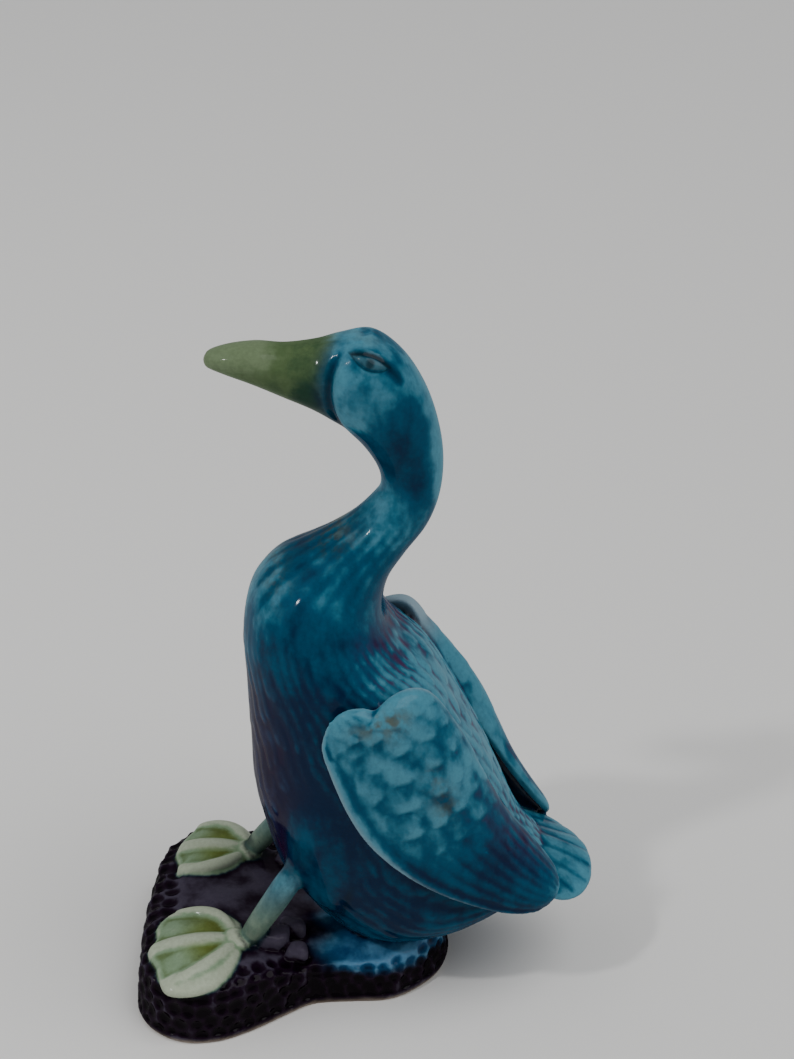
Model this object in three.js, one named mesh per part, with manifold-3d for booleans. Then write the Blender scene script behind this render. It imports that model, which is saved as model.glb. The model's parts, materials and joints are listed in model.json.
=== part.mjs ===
// A glazed ceramic duck that stands on a piece of rockwork, fired as one piece.
// Millimetres. +Z is up, the duck looks along -Y, and +X is its left side.
// The origin is on the table, under the middle of the figure.

import * as THREE from 'three';
import { mergeVertices } from 'three/addons/utils/BufferGeometryUtils.js';
import Module from 'manifold-3d';

const wasm = await Module();
wasm.setup();

// Driving sizes. The outlines below are drawn with Y = 0 above the middle of the rear mound.
const MIDDLE_Y = -5.65;
const BODY_AROUND = 32;
const BODY_ALONG = 50;
const BASE_AROUND = 54;
const WING_AROUND = 18;
const WING_ALONG = 28;
const WING_THICK = 2.4;
// The raised rim along a wing's lower edge: its height, and where it starts and ends to fall
// away, as a share of the wing's width.
const WING_RIM_HIGH = 0.45;
const WING_RIM_WIDE = [0.05, 0.12];
// The angle of the wings below the level, in degrees, and how far their sides bulge.
const WING_SLOPE = 48.3;
const WING_BULGE = 0.8;
// A wing's front goes this far into the body, between these two shares of its length. From
// there it comes free of the rump.
const WING_ROOT_DEEP = 4.6;
const WING_ROOT_FROM = [0.1, 0.35];
const WING_ROOT_TO = [0.52, 0.66];
// How far each wing swells past its back edge, around this place on its length.
const LEFT_WING_SWELL = 0.5;
const RIGHT_WING_SWELL = 2.8;
const SWELL_MIDDLE = -27;
const SWELL_LONG = 12;
// How far each wing's shoulder is pressed down onto the back, between these places.
const LEFT_WING_PRESSED = 0;
const RIGHT_WING_PRESSED = 2.0;
const PRESSED_FROM = [-48, -41];
const PRESSED_TO = [-34, -14];
const TAIL_THICK = 2.2;
const TAIL_RIDGE_HIGH = 0.3;
const TAIL_RIDGE_ANGLE = 0.31;
const TAIL_ROOT_Y = 8;
const TAIL_MIDDLE = [0, 25.5, 23.6];
const FOOT_THICK = 3.0;
const FOOT_SUNK = 0.4;
const FOOT_DOME = 0.7;
const WEB_RIM_HIGH = 0.35;
// Half a toe's width and its height.
const TOE_SIZE = [1.5, 1.5];
// How far from the heel each toe starts, as a share of its length.
const TOE_STARTS = [0.16, 0.04, 0.12];
const TOE_MIDDLE_HIGH = 0.35;
const FOOT_RIM_WIDE = 0.1;
const RECESS_DEEP = 2.5;
const THIGH_MIDDLE = [14.3, -12.4, 30.0];
const THIGH_SIZE = [3.3, 6.4, 12.6];
const THIGH_TURN = -0.45;
const THIGH_LEAN = 0.2;
const THIGH_TILT = 0.12;
const EYE_MIDDLE = [6.9, -4.2, 114.9];
const EYE_SIZE = [0.8, 2.5, 1.35];
const EYE_TILT = -0.15;

// Outlines. Each station of the body is a slice from its front point to its back point:
// [front y, front z, back y, back z, half width, back narrowed, back squared].
const BODY = [
  [-30.5, 113.6, -30.5, 113.6, 0.0, 0.0, 0.0],
  [-30.0, 112.5, -29.9, 114.7, 2.0, 0.0, 0.0],
  [-27.5, 111.4, -27.4, 115.7, 3.4, 0.0, 0.0],
  [-22.8, 109.6, -22.5, 116.4, 4.4, 0.0, 0.0],
  [-17.8, 107.4, -17.7, 116.2, 4.9, 0.1, 0.0],
  [-13.0, 105.2, -12.8, 116.8, 5.5, 0.1, 0.0],
  [-9.0, 102.8, -9.0, 117.6, 7.0, 0.0, 0.3],
  [-6.2, 100.4, -4.0, 118.0, 8.2, 0.0, 0.6],
  [-4.4, 98.1, 0.8, 114.8, 8.1, 0.0, 0.5],
  [-3.0, 95.4, 4.5, 109.4, 6.9, 0.0, 0.2],
  [-2.6, 93.3, 6.8, 102.5, 5.7, 0.0, 0.0],
  [-2.9, 91.8, 7.5, 96.5, 5.1, 0.0, 0.0],
  [-4.4, 90.0, 6.9, 90.7, 5.2, 0.0, 0.0],
  [-7.2, 87.3, 5.0, 85.7, 6.0, 0.0, 0.0],
  [-11.0, 84.6, 1.5, 81.0, 7.8, 0.0, 0.0],
  [-15.5, 82.0, -1.3, 76.8, 10.5, 0.0, 0.1],
  [-20.8, 79.1, -2.3, 72.5, 13.5, 0.0, 0.3],
  [-24.1, 75.0, -1.9, 69.0, 15.5, 0.0, 0.5],
  [-25.7, 67.4, 0.4, 65.2, 17.4, 0.0, 0.7],
  [-25.4, 58.0, 5.8, 60.0, 19.0, 0.0, 0.8],
  [-25.1, 48.0, 11.0, 52.0, 19.4, 0.05, 0.75],
  [-24.7, 38.0, 15.3, 44.0, 19.2, 0.18, 0.65],
  [-22.8, 29.0, 18.6, 36.5, 18.9, 0.26, 0.5],
  [-19.8, 20.5, 20.6, 32.0, 18.4, 0.28, 0.4],
  [-9.0, 8.8, 22.0, 29.6, 17.4, 0.18, 0.1],
  [0.0, 8.0, 23.5, 27.6, 16.0, 0.1, 0.0],
  [9.0, 10.7, 25.0, 25.6, 13.5, 0.0, 0.0],
  [18.0, 15.5, 26.5, 23.0, 9.5, 0.0, 0.0],
  [23.5, 18.6, 26.8, 21.0, 5.0, 0.0, 0.0],
  [26.0, 19.4, 26.0, 19.4, 0.0, 0.0, 0.0],
];
// A wing is a row of slices square to the line from its shoulder down to its tip. Each
// slice: [how far along that line, rise of its lower edge, rise of its back edge,
// x of its lower edge, x of its back edge].
const WING = [
  [-51.6, 32.6, 32.6, 20.4, 20.4],
  [-51.0, 30.6, 34.8, 20.6, 20.0],
  [-49.4, 28.2, 36.6, 20.8, 19.4],
  [-47.4, 26.9, 37.8, 20.9, 18.8],
  [-46.8, 26.6, 41.0, 20.9, 17.2],
  [-45.5, 26.0, 43.3, 20.9, 15.8],
  [-43.0, 24.9, 44.4, 20.9, 14.4],
  [-38.0, 23.0, 43.8, 20.9, 13.0],
  [-32.0, 21.5, 42.2, 20.7, 12.0],
  [-26.0, 21.3, 40.3, 20.4, 11.2],
  [-20.0, 22.0, 38.6, 19.9, 10.2],
  [-14.0, 23.6, 37.5, 19.2, 9.4],
  [-8.0, 26.0, 37.0, 18.2, 8.8],
  [-3.6, 28.1, 36.7, 17.0, 8.8],
  [-0.4, 30.4, 36.3, 15.6, 9.6],
  [1.2, 32.6, 35.5, 14.2, 11.0],
  [1.8, 34.0, 34.0, 12.6, 12.6],
];
// The tail fan's edge, one side from the middle of its rear edge: [x, y, z].
const TAIL_EDGE = [
  [0, 34.6, 19.0],
  [5.5, 33.9, 18.8],
  [9.8, 31.6, 18.9],
  [12.4, 28.0, 20.0],
  [12.0, 23.0, 22.6],
  [7.5, 18.0, 26.0],
  [0, 16.0, 28.0],
];
// The outlines of the left and the right foot as they lie on the rock: [x, y].
const LEFT_FOOT = [
  [11.6, -26.9],
  [6.6, -28.0],
  [3.6, -32.0],
  [2.9, -36.6],
  [4.4, -40.4],
  [8.2, -42.3],
  [11.6, -41.9],
  [15.4, -43.0],
  [19.2, -41.2],
  [25.4, -38.8],
  [26.0, -34.8],
  [24.0, -30.6],
  [19.0, -27.6],
];
const RIGHT_FOOT = [
  [-15.0, -27.2],
  [-20.6, -27.8],
  [-24.6, -31.0],
  [-25.7, -34.2],
  [-24.6, -37.6],
  [-21.6, -39.0],
  [-18.0, -40.6],
  [-13.8, -41.4],
  [-10.4, -40.4],
  [-8.4, -40.6],
  [-7.4, -37.0],
  [-8.1, -33.4],
  [-10.8, -29.4],
];
// The toes, each from the heel outwards: [x, y] of the heel, and [x, y] of each tip with how far
// the toe bows out on its way there.
const LEFT_TOES = [[12.2, -27.5], [4.4, -39.6, -2.8], [15.4, -42.4, 0], [24.6, -38.6, 1.6]];
const RIGHT_TOES = [[-15.0, -27.6], [-8.6, -39.6, 2.0], [-15.6, -40.8, 0], [-23.8, -37.2, -2.0]];
// The legs, from the foot up into the thigh: [x, y, z, radius].
const LEFT_LEG = [
  [11.8, -26.6, 10.2, 1.9],
  [11.7, -25.2, 12.6, 2.1],
  [11.6, -21.2, 19.0, 2.2],
  [11.4, -17.8, 24.2, 2.6],
  [11.0, -12.0, 30.0, 5.5],
];
const RIGHT_LEG = [
  [-15.2, -27.8, 10.2, 1.9],
  [-15.0, -26.6, 12.6, 2.1],
  [-13.6, -21.6, 19.2, 2.2],
  [-12.2, -17.8, 24.2, 2.6],
  [-11.0, -12.0, 30.0, 5.5],
];
// The rockwork's bottom outline, one side from the front middle to the rear middle: [x, y].
const BASE_EDGE = [
  [0, -46.0],
  [10.0, -45.6],
  [18.0, -44.9],
  [22.9, -41.9],
  [25.9, -36.5],
  [25.6, -30.5],
  [22.8, -24.8],
  [18.7, -19.2],
  [15.7, -14.5],
  [15.0, -8.0],
  [14.4, -1.0],
  [11.2, 4.0],
  [6.5, 7.8],
  [0, 9.4],
];
const BASE_MIDDLE_Y = -20;
const ROCK_FRONT = 10.6;
const ROCK_REAR = 9.6;
const ROCK_REAR_RIM = 7.0;
// The soft swellings of the rock: [x, y, height, radius].
const SWELLINGS = [
  [-1.0, -33.0, 0.6, 5.0],
  [14.5, -35.0, 0.8, 7.0],
  [-16.5, -34.0, 0.8, 7.0],
];
// The stones that stand up from the rock behind the legs: [x, y, radius].
const STONES = [
  [11.2, -21.4, 2.4],
  [12.8, -17.4, 1.8],
  [7.8, -18.6, 2.1],
  [-14.2, -20.0, 2.4],
];

const { clamp, lerp, smoothstep } = THREE.MathUtils;

// A closed skin: the points of a sphere, moved to where place(turn, along) says.
// turn goes once around from 0 to 1, and along from one closed end at 0 to the other at 1.
function skin(aroundCount, alongCount, place) {
  const geometry = new THREE.SphereGeometry(1, aroundCount, alongCount);
  const position = geometry.attributes.position;
  for (let row = 0; row <= alongCount; row += 1) {
    for (let column = 0; column <= aroundCount; column += 1) {
      const point = place((column % aroundCount) / aroundCount, row / alongCount);
      position.setXYZ(row * (aroundCount + 1) + column, point.x, point.y, point.z);
    }
  }
  return geometry;
}

// Six times the volume that a closed mesh holds, negative where its faces point inwards.
function signedVolume(geometry) {
  const { position } = geometry.attributes;
  const corners = [0, 1, 2].map(() => new THREE.Vector3());
  let sum = 0;
  for (let start = 0; start < geometry.index.count; start += 3) {
    corners.forEach((corner, k) => corner.fromBufferAttribute(position, geometry.index.getX(start + k)));
    sum += corners[0].dot(corners[1].cross(corners[2]));
  }
  return sum;
}

// A closed mesh as a solid that can be joined and cut, with its faces pointing out.
function solid(geometry) {
  geometry.deleteAttribute('normal');
  geometry.deleteAttribute('uv');
  const merged = mergeVertices(geometry, 1e-4);
  const triVerts = new Uint32Array(merged.index.array);
  if (signedVolume(merged) < 0) {
    triVerts.reverse();
  }
  const vertProperties = new Float32Array(merged.attributes.position.array);
  return new wasm.Manifold(new wasm.Mesh({ numProp: 3, vertProperties, triVerts }));
}

function asGeometry(body) {
  const mesh = body.getMesh();
  const geometry = new THREE.BufferGeometry();
  geometry.setAttribute('position', new THREE.BufferAttribute(mesh.vertProperties, 3));
  geometry.setIndex(new THREE.BufferAttribute(mesh.triVerts, 1));
  return geometry;
}

function closedCurve(points) {
  return new THREE.CatmullRomCurve3(points.map((p) => new THREE.Vector3(...p)), true, 'centripetal');
}

function openCurve(points) {
  return new THREE.CatmullRomCurve3(points.map((p) => new THREE.Vector3(...p)), false, 'centripetal');
}

// Both sides of a symmetric outline whose first and last points are on the middle line.
function mirrored(half) {
  const other = half.slice(1, -1).reverse();
  return half.concat(other.map(([x, ...rest]) => [-x, ...rest]));
}

// The bird's bill, head, neck and body as one skin of slices. The slices are closer
// together towards both ends. The back half of a slice can be narrowed, as the rump is
// between the wings, or squared, as the broad back is between the shoulders.
function makeBody() {
  const front = openCurve(BODY.map(([fy, fz, , , half]) => [half, fy, fz]));
  const back = openCurve(BODY.map(([, , by, bz, , narrow]) => [narrow, by, bz]));
  const square = openCurve(BODY.map(([, , , , , , amount], k) => [amount, k, 0]));
  const spine = openCurve(BODY.map(([fy, fz, by, bz]) => [0, (fy + by) / 2, (fz + bz) / 2]));
  return skin(BODY_AROUND, BODY_ALONG, (turn, along) => {
    const eased = lerp(along, (1 - Math.cos(Math.PI * along)) / 2, 0.4);
    const t = spine.getUtoTmapping(eased);
    const f = front.getPoint(t);
    const b = back.getPoint(t);
    const angle = turn * 2 * Math.PI;
    const towardsBack = Math.cos(angle);
    const sideways = Math.sin(angle);
    const power = towardsBack > 0 ? 1 - 0.4 * clamp(square.getPoint(t).x, 0, 1.4) : 1;
    const half = along > 0 && along < 1 ? Math.max(f.x, 0) : 0;
    const width = half * (1 - clamp(b.x, 0, 1) * smoothstep(towardsBack, 0, 1));
    const share = 0.5 + 0.5 * Math.sign(towardsBack) * Math.abs(towardsBack) ** power;
    return new THREE.Vector3(
      width * Math.sign(sideways) * Math.abs(sideways) ** power,
      lerp(f.y, b.y, share),
      lerp(f.z, b.z, share),
    );
  });
}

// A slab with a rounded edge. Its middle surface is given by sheet(turn, reach), where
// reach runs from 0 in the middle to 1 at the edge. lift raises the side that faces up.
function makeSlab(sheet, up, thick, aroundCount, upper, lower, lift) {
  const rows = upper.map((reach) => [reach, 1]);
  rows.push([1, 0]);
  rows.push(...lower.map((reach) => [reach, -1]));
  const step = 0.002;
  const spoke = sheet(0, 0.5).sub(sheet(0, 0.48));
  const facing = Math.sign(spoke.cross(sheet(0.02, 0.5).sub(sheet(0, 0.5))).dot(up));
  return skin(aroundCount, rows.length - 1, (turn, along) => {
    const [reach, side] = rows[Math.round(along * (rows.length - 1))];
    const near = clamp(reach, step, 1 - step);
    const at = reach === 0 ? 0 : turn;
    const point = sheet(at, reach);
    const outwards = sheet(at, near + step).sub(sheet(at, near - step));
    const onwards = sheet(at + step, near).sub(sheet(at - step, near));
    const normal = outwards.cross(onwards).normalize();
    normal.multiplyScalar(facing);
    const depth = thick * 0.5 * Math.sqrt(Math.max(1 - reach ** 8, 0));
    const raise = side > 0 ? lift(point, reach) : 0;
    return point.addScaledVector(normal, side * depth + raise);
  });
}

// A point on a closed curve, taking turns below 0 and above 1 as well.
function around(curve, turn) {
  return curve.getPointAt(THREE.MathUtils.euclideanModulo(turn, 1));
}

// A wing: a thick leaf with two lobes in front. Its middle surface is an arc in each slice,
// from the lower edge up and in to the back edge. The front half is stuck to the body, and
// the rest stands free of the rump.
function makeWing(side, swell, pressed) {
  const place = openCurve(WING.map(([run, low, high]) => [run, low, high]));
  const sides = openCurve(WING.map(([, , , lowX, highX], k) => [lowX, highX, k]));
  const slope = THREE.MathUtils.degToRad(WING_SLOPE);
  const sheet = (along, across) => {
    const { x: run, y: low, z: open } = place.getPoint(along);
    const { x: lowX, y: highX } = sides.getPoint(along);
    const high = open - pressed * smoothstep(run, ...PRESSED_FROM) * (1 - smoothstep(run, ...PRESSED_TO));
    const past = swell * Math.exp(-(((run - SWELL_MIDDLE) / SWELL_LONG) ** 2));
    const curl = Math.PI - Math.asin(1 / (1 + past / Math.max(high - low, 1)));
    const rise = lerp(low, high, Math.sin(curl * across) / Math.sin(curl));
    const inwards = (1 - Math.cos(curl * across)) / (1 - Math.cos(curl));
    const bulge = WING_BULGE * Math.sin(Math.PI * across) * Math.min((high - low) / 10, 1);
    return new THREE.Vector3(
      lerp(lowX, highX, inwards) + bulge,
      run * Math.cos(slope) + rise * Math.sin(slope),
      rise * Math.cos(slope) - run * Math.sin(slope),
    );
  };
  const step = 0.001;
  const slab = skin(WING_AROUND, WING_ALONG, (turn, along) => {
    const across = (1 - Math.cos(2 * Math.PI * turn)) / 2;
    const point = sheet(along, across);
    if (along === 0 || along === 1) {
      return point;
    }
    const onwards = sheet(along + step, across).sub(sheet(along - step, across));
    const upwards = sheet(along, Math.min(across + step, 1)).sub(sheet(along, Math.max(across - step, 0)));
    const normal = onwards.cross(upwards).normalize();
    const outside = Math.sin(2 * Math.PI * turn);
    const ends = Math.sin(Math.PI * along) ** 0.3;
    const stuck = smoothstep(along, ...WING_ROOT_FROM) * (1 - smoothstep(along, ...WING_ROOT_TO));
    const half = outside > 0 ? WING_THICK / 2 : lerp(WING_THICK / 2, WING_ROOT_DEEP, stuck);
    const depth = half * Math.sign(outside) * Math.abs(outside) ** 0.3 * ends;
    const rim = outside > 0 ? WING_RIM_HIGH * (1 - smoothstep(across, ...WING_RIM_WIDE)) : 0;
    return point.addScaledVector(normal, depth + rim);
  });
  slab.scale(side, 1, 1);
  return slab;
}

// The tail fan: a slab that slopes down and back, ridged from its root to its rear edge.
function makeTail() {
  const edge = closedCurve(mirrored(TAIL_EDGE));
  const middle = new THREE.Vector3(...TAIL_MIDDLE);
  const sheet = (turn, reach) => middle.clone().lerp(around(edge, turn), reach);
  const lift = (point) => {
    const angle = Math.atan2(point.x, point.y - TAIL_ROOT_Y);
    return TAIL_RIDGE_HIGH * Math.cos((angle / TAIL_RIDGE_ANGLE) * 2 * Math.PI);
  };
  const up = new THREE.Vector3(0, 0.6, 0.8);
  return makeSlab(sheet, up, TAIL_THICK, 38, [0, 0.45, 0.8, 0.96], [0.9, 0], lift);
}

// The height of the rock's upper side at a place. It is high in front, and behind it is a
// mound that falls away to both sides.
function rock(x, y) {
  const rear = smoothstep(y, -26, -12);
  const crown = lerp(ROCK_FRONT, ROCK_REAR, rear);
  const shoulder = rear * (ROCK_REAR - ROCK_REAR_RIM) * smoothstep(Math.abs(x), 7, 15);
  const swellings = SWELLINGS.reduce((sum, [lx, ly, high, radius]) => {
    const distance = Math.hypot(x - lx, y - ly) / radius;
    return sum + high * Math.exp(-distance * distance);
  }, 0);
  return crown - shoulder + swellings;
}

// A webbed foot's pad, which follows the rock, is slightly domed and goes down into it.
function makeFoot(outline) {
  const edge = closedCurve(outline.map(([x, y]) => [x, y, 0]));
  const middle = new THREE.Vector3();
  outline.forEach(([x, y]) => middle.add(new THREE.Vector3(x, y, 0)));
  middle.divideScalar(outline.length);
  const sheet = (turn, reach) => {
    const point = middle.clone().lerp(around(edge, turn), reach);
    point.z = rock(point.x, point.y) + FOOT_DOME * (1 - reach ** 2) - FOOT_SUNK;
    return point;
  };
  const lift = (point, reach) => {
    const outside = smoothstep(reach, 0.9, 1);
    return WEB_RIM_HIGH * smoothstep(reach, 0.74, 0.84) * (1 - outside);
  };
  const up = new THREE.Vector3(0, 0, 1);
  return makeSlab(sheet, up, FOOT_THICK, 30, [0, 0.4, 0.7, 0.84, 0.94], [0.9, 0], lift);
}

// A toe: a low round ridge on the foot, from the heel to the toe's tip.
function makeToe([heelX, heelY], [tipX, tipY, bow], start) {
  return skin(8, 7, (turn, along) => {
    const share = lerp(start, 1, along);
    const across = new THREE.Vector3(heelY - tipY, tipX - heelX, 0).normalize();
    const x = lerp(heelX, tipX, share) + bow * across.x * Math.sin(Math.PI * share);
    const y = lerp(heelY, tipY, share) + bow * across.y * Math.sin(Math.PI * share);
    const fullness = Math.abs(Math.sin(Math.PI * along));
    const full = fullness ** 0.3 * (along === 0 || along === 1 ? 0 : 1);
    const angle = turn * 2 * Math.PI;
    const dome = FOOT_DOME * 0.6 * fullness;
    const point = new THREE.Vector3(x, y, rock(x, y) + TOE_MIDDLE_HIGH + dome);
    point.addScaledVector(across, TOE_SIZE[0] * full * Math.cos(angle));
    point.z += TOE_SIZE[1] * full * Math.sin(angle);
    return point;
  });
}

// A leg: a round shank that widens into the thigh.
function makeLeg(stations) {
  const path = openCurve(stations.map(([x, y, z]) => [x, y, z]));
  const radii = openCurve(stations.map(([, , , radius], k) => [radius, k, 0]));
  const sideways = new THREE.Vector3(1, 0, 0);
  return skin(10, 8, (turn, along) => {
    const t = clamp(along, 0.0001, 0.9999);
    const point = path.getPoint(t);
    const tangent = path.getTangent(t);
    const out = sideways.clone().addScaledVector(tangent, -tangent.x).normalize();
    const other = new THREE.Vector3().crossVectors(tangent, out);
    const end = Math.sin(Math.PI * along) ** 0.35;
    const radius = radii.getPoint(t).x * (along === 0 || along === 1 ? 0 : end);
    point.addScaledVector(out, radius * Math.cos(turn * 2 * Math.PI));
    return point.addScaledVector(other, radius * Math.sin(turn * 2 * Math.PI));
  });
}

// The rockwork, with a recess under it that leaves a flat foot rim all round.
function makeBase() {
  const spokes = closedCurve(mirrored(BASE_EDGE).map(([x, y]) => [x, y, 0])).getSpacedPoints(BASE_AROUND);
  const recess = 1 - FOOT_RIM_WIDE;
  // Each row: how far out it is, what share of the rock's height it has, and what is added.
  const rows = [
    [0, 1, 0],
    [0.3, 1, 0],
    [0.55, 1, 0],
    [0.75, 1, 0],
    [0.9, 1, 0],
    [0.965, 1, -0.7],
    [0.985, 0.75, 0],
    [1, 0, 1.2],
    [0.985, 0, 0],
    [recess, 0, 0],
    [recess - 0.04, 0, RECESS_DEEP],
    [0, 0, RECESS_DEEP],
  ];
  return skin(BASE_AROUND, rows.length - 1, (turn, along) => {
    const [reach, share, extra] = rows[Math.round(along * (rows.length - 1))];
    const rim = spokes[Math.round(turn * BASE_AROUND) % BASE_AROUND];
    const x = rim.x * reach;
    const y = lerp(BASE_MIDDLE_Y, rim.y, reach);
    return new THREE.Vector3(x, y, share * rock(x, y) + extra);
  });
}

function makeStone([x, y, radius]) {
  const stone = new THREE.SphereGeometry(radius, 7, 5);
  stone.scale(1, 1.15, 0.8);
  stone.translate(x, y, rock(x, y) + 0.3 * radius);
  return stone;
}

// A thigh: a low paddle of feathers on the side of the belly.
function makeThigh(side) {
  const thigh = new THREE.SphereGeometry(1, 12, 9);
  thigh.scale(...THIGH_SIZE);
  thigh.rotateZ(THIGH_TURN);
  thigh.rotateY(THIGH_LEAN);
  thigh.rotateX(THIGH_TILT);
  const [x, y, z] = THIGH_MIDDLE;
  thigh.scale(side, 1, 1);
  thigh.translate(side * x, y, z);
  return thigh;
}

// An eye: a low almond on the side of the head.
function makeEye(side) {
  const eye = new THREE.SphereGeometry(1, 10, 6);
  eye.scale(...EYE_SIZE);
  eye.rotateX(EYE_TILT);
  const [x, y, z] = EYE_MIDDLE;
  eye.translate(side * x, y, z);
  return eye;
}

const [leftHeel, ...leftTips] = LEFT_TOES;
const [rightHeel, ...rightTips] = RIGHT_TOES;
const figureParts = [
  makeWing(1, LEFT_WING_SWELL, LEFT_WING_PRESSED),
  makeWing(-1, RIGHT_WING_SWELL, RIGHT_WING_PRESSED),
  makeTail(),
  makeBase(),
  makeFoot(LEFT_FOOT),
  makeFoot(RIGHT_FOOT),
  ...leftTips.map((tip, k) => makeToe(leftHeel, tip, TOE_STARTS[k])),
  ...rightTips.map((tip, k) => makeToe(rightHeel, tip, TOE_STARTS[k])),
  makeLeg(LEFT_LEG),
  makeLeg(RIGHT_LEG),
  makeThigh(1),
  makeThigh(-1),
  ...STONES.map(makeStone),
  makeEye(1),
  makeEye(-1),
];
const joined = figureParts.reduce((whole, piece) => whole.add(solid(piece)), solid(makeBody()));

const figure = new THREE.Mesh(
  asGeometry(joined),
  new THREE.MeshStandardMaterial({ color: 0x1b7f93, roughness: 0.2, metalness: 0 }),
);
figure.name = 'duck_figurine';
figure.position.y = -MIDDLE_Y;

const duck = new THREE.Group();
duck.add(figure);

export default duck;
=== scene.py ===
# %% [markdown]
# # A glazed duck on a rock
#
# The real duck is pressed and modelled in clay, joined with slip, dipped in coloured glazes and
# fired once. So it is one piece: bill, neck, body, wings, legs, feet and rock are fused.
# Here each clay form is a grid rolled up and moved into place with its carving, then all of them
# are fused by a voxel remesh, which rounds the joins as slip and glaze do.
# Sizes on the duck are in millimetres, and joining the forms turns them into metres. The floor
# and the lamps are given in metres.

# %% Load the frame
import json
import math
import bmesh
import bpy
import numpy as np
from functools import partial
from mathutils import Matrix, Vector, kdtree

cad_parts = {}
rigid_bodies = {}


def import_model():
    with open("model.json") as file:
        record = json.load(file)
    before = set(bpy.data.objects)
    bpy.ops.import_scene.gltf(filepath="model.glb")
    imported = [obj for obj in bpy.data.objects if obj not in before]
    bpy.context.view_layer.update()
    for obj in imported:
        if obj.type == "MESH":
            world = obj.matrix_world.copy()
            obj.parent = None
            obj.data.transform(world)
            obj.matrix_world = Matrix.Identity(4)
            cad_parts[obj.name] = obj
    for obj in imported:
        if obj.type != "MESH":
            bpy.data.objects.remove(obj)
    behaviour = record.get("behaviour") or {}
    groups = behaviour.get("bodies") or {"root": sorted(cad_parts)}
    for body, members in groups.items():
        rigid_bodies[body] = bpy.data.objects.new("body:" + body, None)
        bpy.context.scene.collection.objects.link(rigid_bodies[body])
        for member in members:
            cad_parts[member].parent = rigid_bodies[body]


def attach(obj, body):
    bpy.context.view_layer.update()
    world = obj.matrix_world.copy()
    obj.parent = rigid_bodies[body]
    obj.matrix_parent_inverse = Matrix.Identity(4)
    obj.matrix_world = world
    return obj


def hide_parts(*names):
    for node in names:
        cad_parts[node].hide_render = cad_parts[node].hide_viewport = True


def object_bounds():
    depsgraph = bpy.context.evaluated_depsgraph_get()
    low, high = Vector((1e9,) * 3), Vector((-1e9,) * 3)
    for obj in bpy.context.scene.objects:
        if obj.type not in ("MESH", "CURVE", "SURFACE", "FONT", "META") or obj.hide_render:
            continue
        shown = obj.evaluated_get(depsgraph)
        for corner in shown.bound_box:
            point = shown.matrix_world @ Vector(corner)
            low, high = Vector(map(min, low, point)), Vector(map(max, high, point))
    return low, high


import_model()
cad_box = [list(corner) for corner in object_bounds()]
MM = 0.001
# The outlines are drawn with Y = 0 above the middle of the rear mound, as in the part's source.
MIDDLE_Y = -5.65


def add_object(name, data):
    """A new object with this data, linked into the scene."""
    made = bpy.data.objects.new(name, data)
    bpy.context.scene.collection.objects.link(made)
    return made


print("CAD box in metres:", cad_box)

# %% [markdown]
# ## The camera
#
# The photo looks at the duck's left side and 24 degrees down, from close by. A camera's place
# could be moved by hand until it looks right, but the feet, the rock and both wings fix it, so
# it is given by its distance, its angle and the point that it looks at.

# %% Camera
CAMERA_DISTANCE = 290.0
CAMERA_DOWN = math.radians(24.0)
CAMERA_AIM = Vector((0.0, -MIDDLE_Y, 84.22)) * MM
CAMERA_SETTINGS = {"lens": 60.17, "sensor_width": 36.0, "clip_start": 0.01}


def facing(direction):
    """The turn with which a camera or a lamp looks along a direction."""
    return Vector(direction).to_track_quat("-Z", "Y").to_euler()


def set_all(thing, settings):
    for key, value in settings.items():
        setattr(thing, key, value)
    return thing


towards_camera = Vector((math.cos(CAMERA_DOWN), 0.0, math.sin(CAMERA_DOWN)))
camera = add_object("camera", set_all(bpy.data.cameras.new("camera"), CAMERA_SETTINGS))
camera.location = CAMERA_AIM + towards_camera * CAMERA_DISTANCE * MM
camera.rotation_euler = facing(-towards_camera)
bpy.context.scene.camera = camera
print("camera stands at", [round(v, 4) for v in camera.location])

# %% [markdown]
# ## Curves through points
#
# Every outline is a few points with a smooth curve through them. Blender's own curves could do
# this, but the forms need thousands of points at once, so the same kind of curve (a centripetal
# Catmull-Rom, which never overshoots between close points) is worked out here with arrays.

# %% Curves
NO_GAP = 1e-4


def ramp(value, low, high):
    """0 below low, 1 above high, and an even S between them."""
    share = np.clip((np.asarray(value, float) - low) / (high - low), 0, 1)
    return share * share * (3 - 2 * share)


def lerp(a, b, share):
    return a + (b - a) * share


def curve(points, closed=False):
    """A smooth curve through the points. Returns a function of t, from 0 to 1 along it."""
    points = np.array(points, float)
    count = len(points)
    spans = count if closed else count - 1

    def at(t):
        place = np.asarray(t, float) * spans
        first = np.floor(place).astype(int)
        if closed:
            share = place - first
            p0, p1, p2, p3 = (points[(first + k) % count] for k in (-1, 0, 1, 2))
        else:
            first = np.clip(first, 0, count - 2)
            share = np.clip(place - first, 0, 1)
            padded = np.vstack([2 * points[0] - points[1], points, 2 * points[-1] - points[-2]])
            p0, p1, p2, p3 = (padded[first + k] for k in (0, 1, 2, 3))
        gaps = [np.sum((b - a) ** 2, axis=-1) ** 0.25 for a, b in ((p0, p1), (p1, p2), (p2, p3))]
        middle = np.where(gaps[1] < NO_GAP, 1.0, gaps[1])
        before = np.where(gaps[0] < NO_GAP, middle, gaps[0])[..., None]
        after = np.where(gaps[2] < NO_GAP, middle, gaps[2])[..., None]
        middle = middle[..., None]
        start = (p1 - p0) / before - (p2 - p0) / (before + middle) + (p2 - p1) / middle
        end = (p2 - p1) / middle - (p3 - p1) / (middle + after) + (p3 - p2) / after
        start, end, share = start * middle, end * middle, share[..., None]
        return (
            p1
            + start * share
            + (-3 * p1 + 3 * p2 - 2 * start - end) * share**2
            + (2 * p1 - 2 * p2 + start + end) * share**3
        )

    return at


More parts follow.
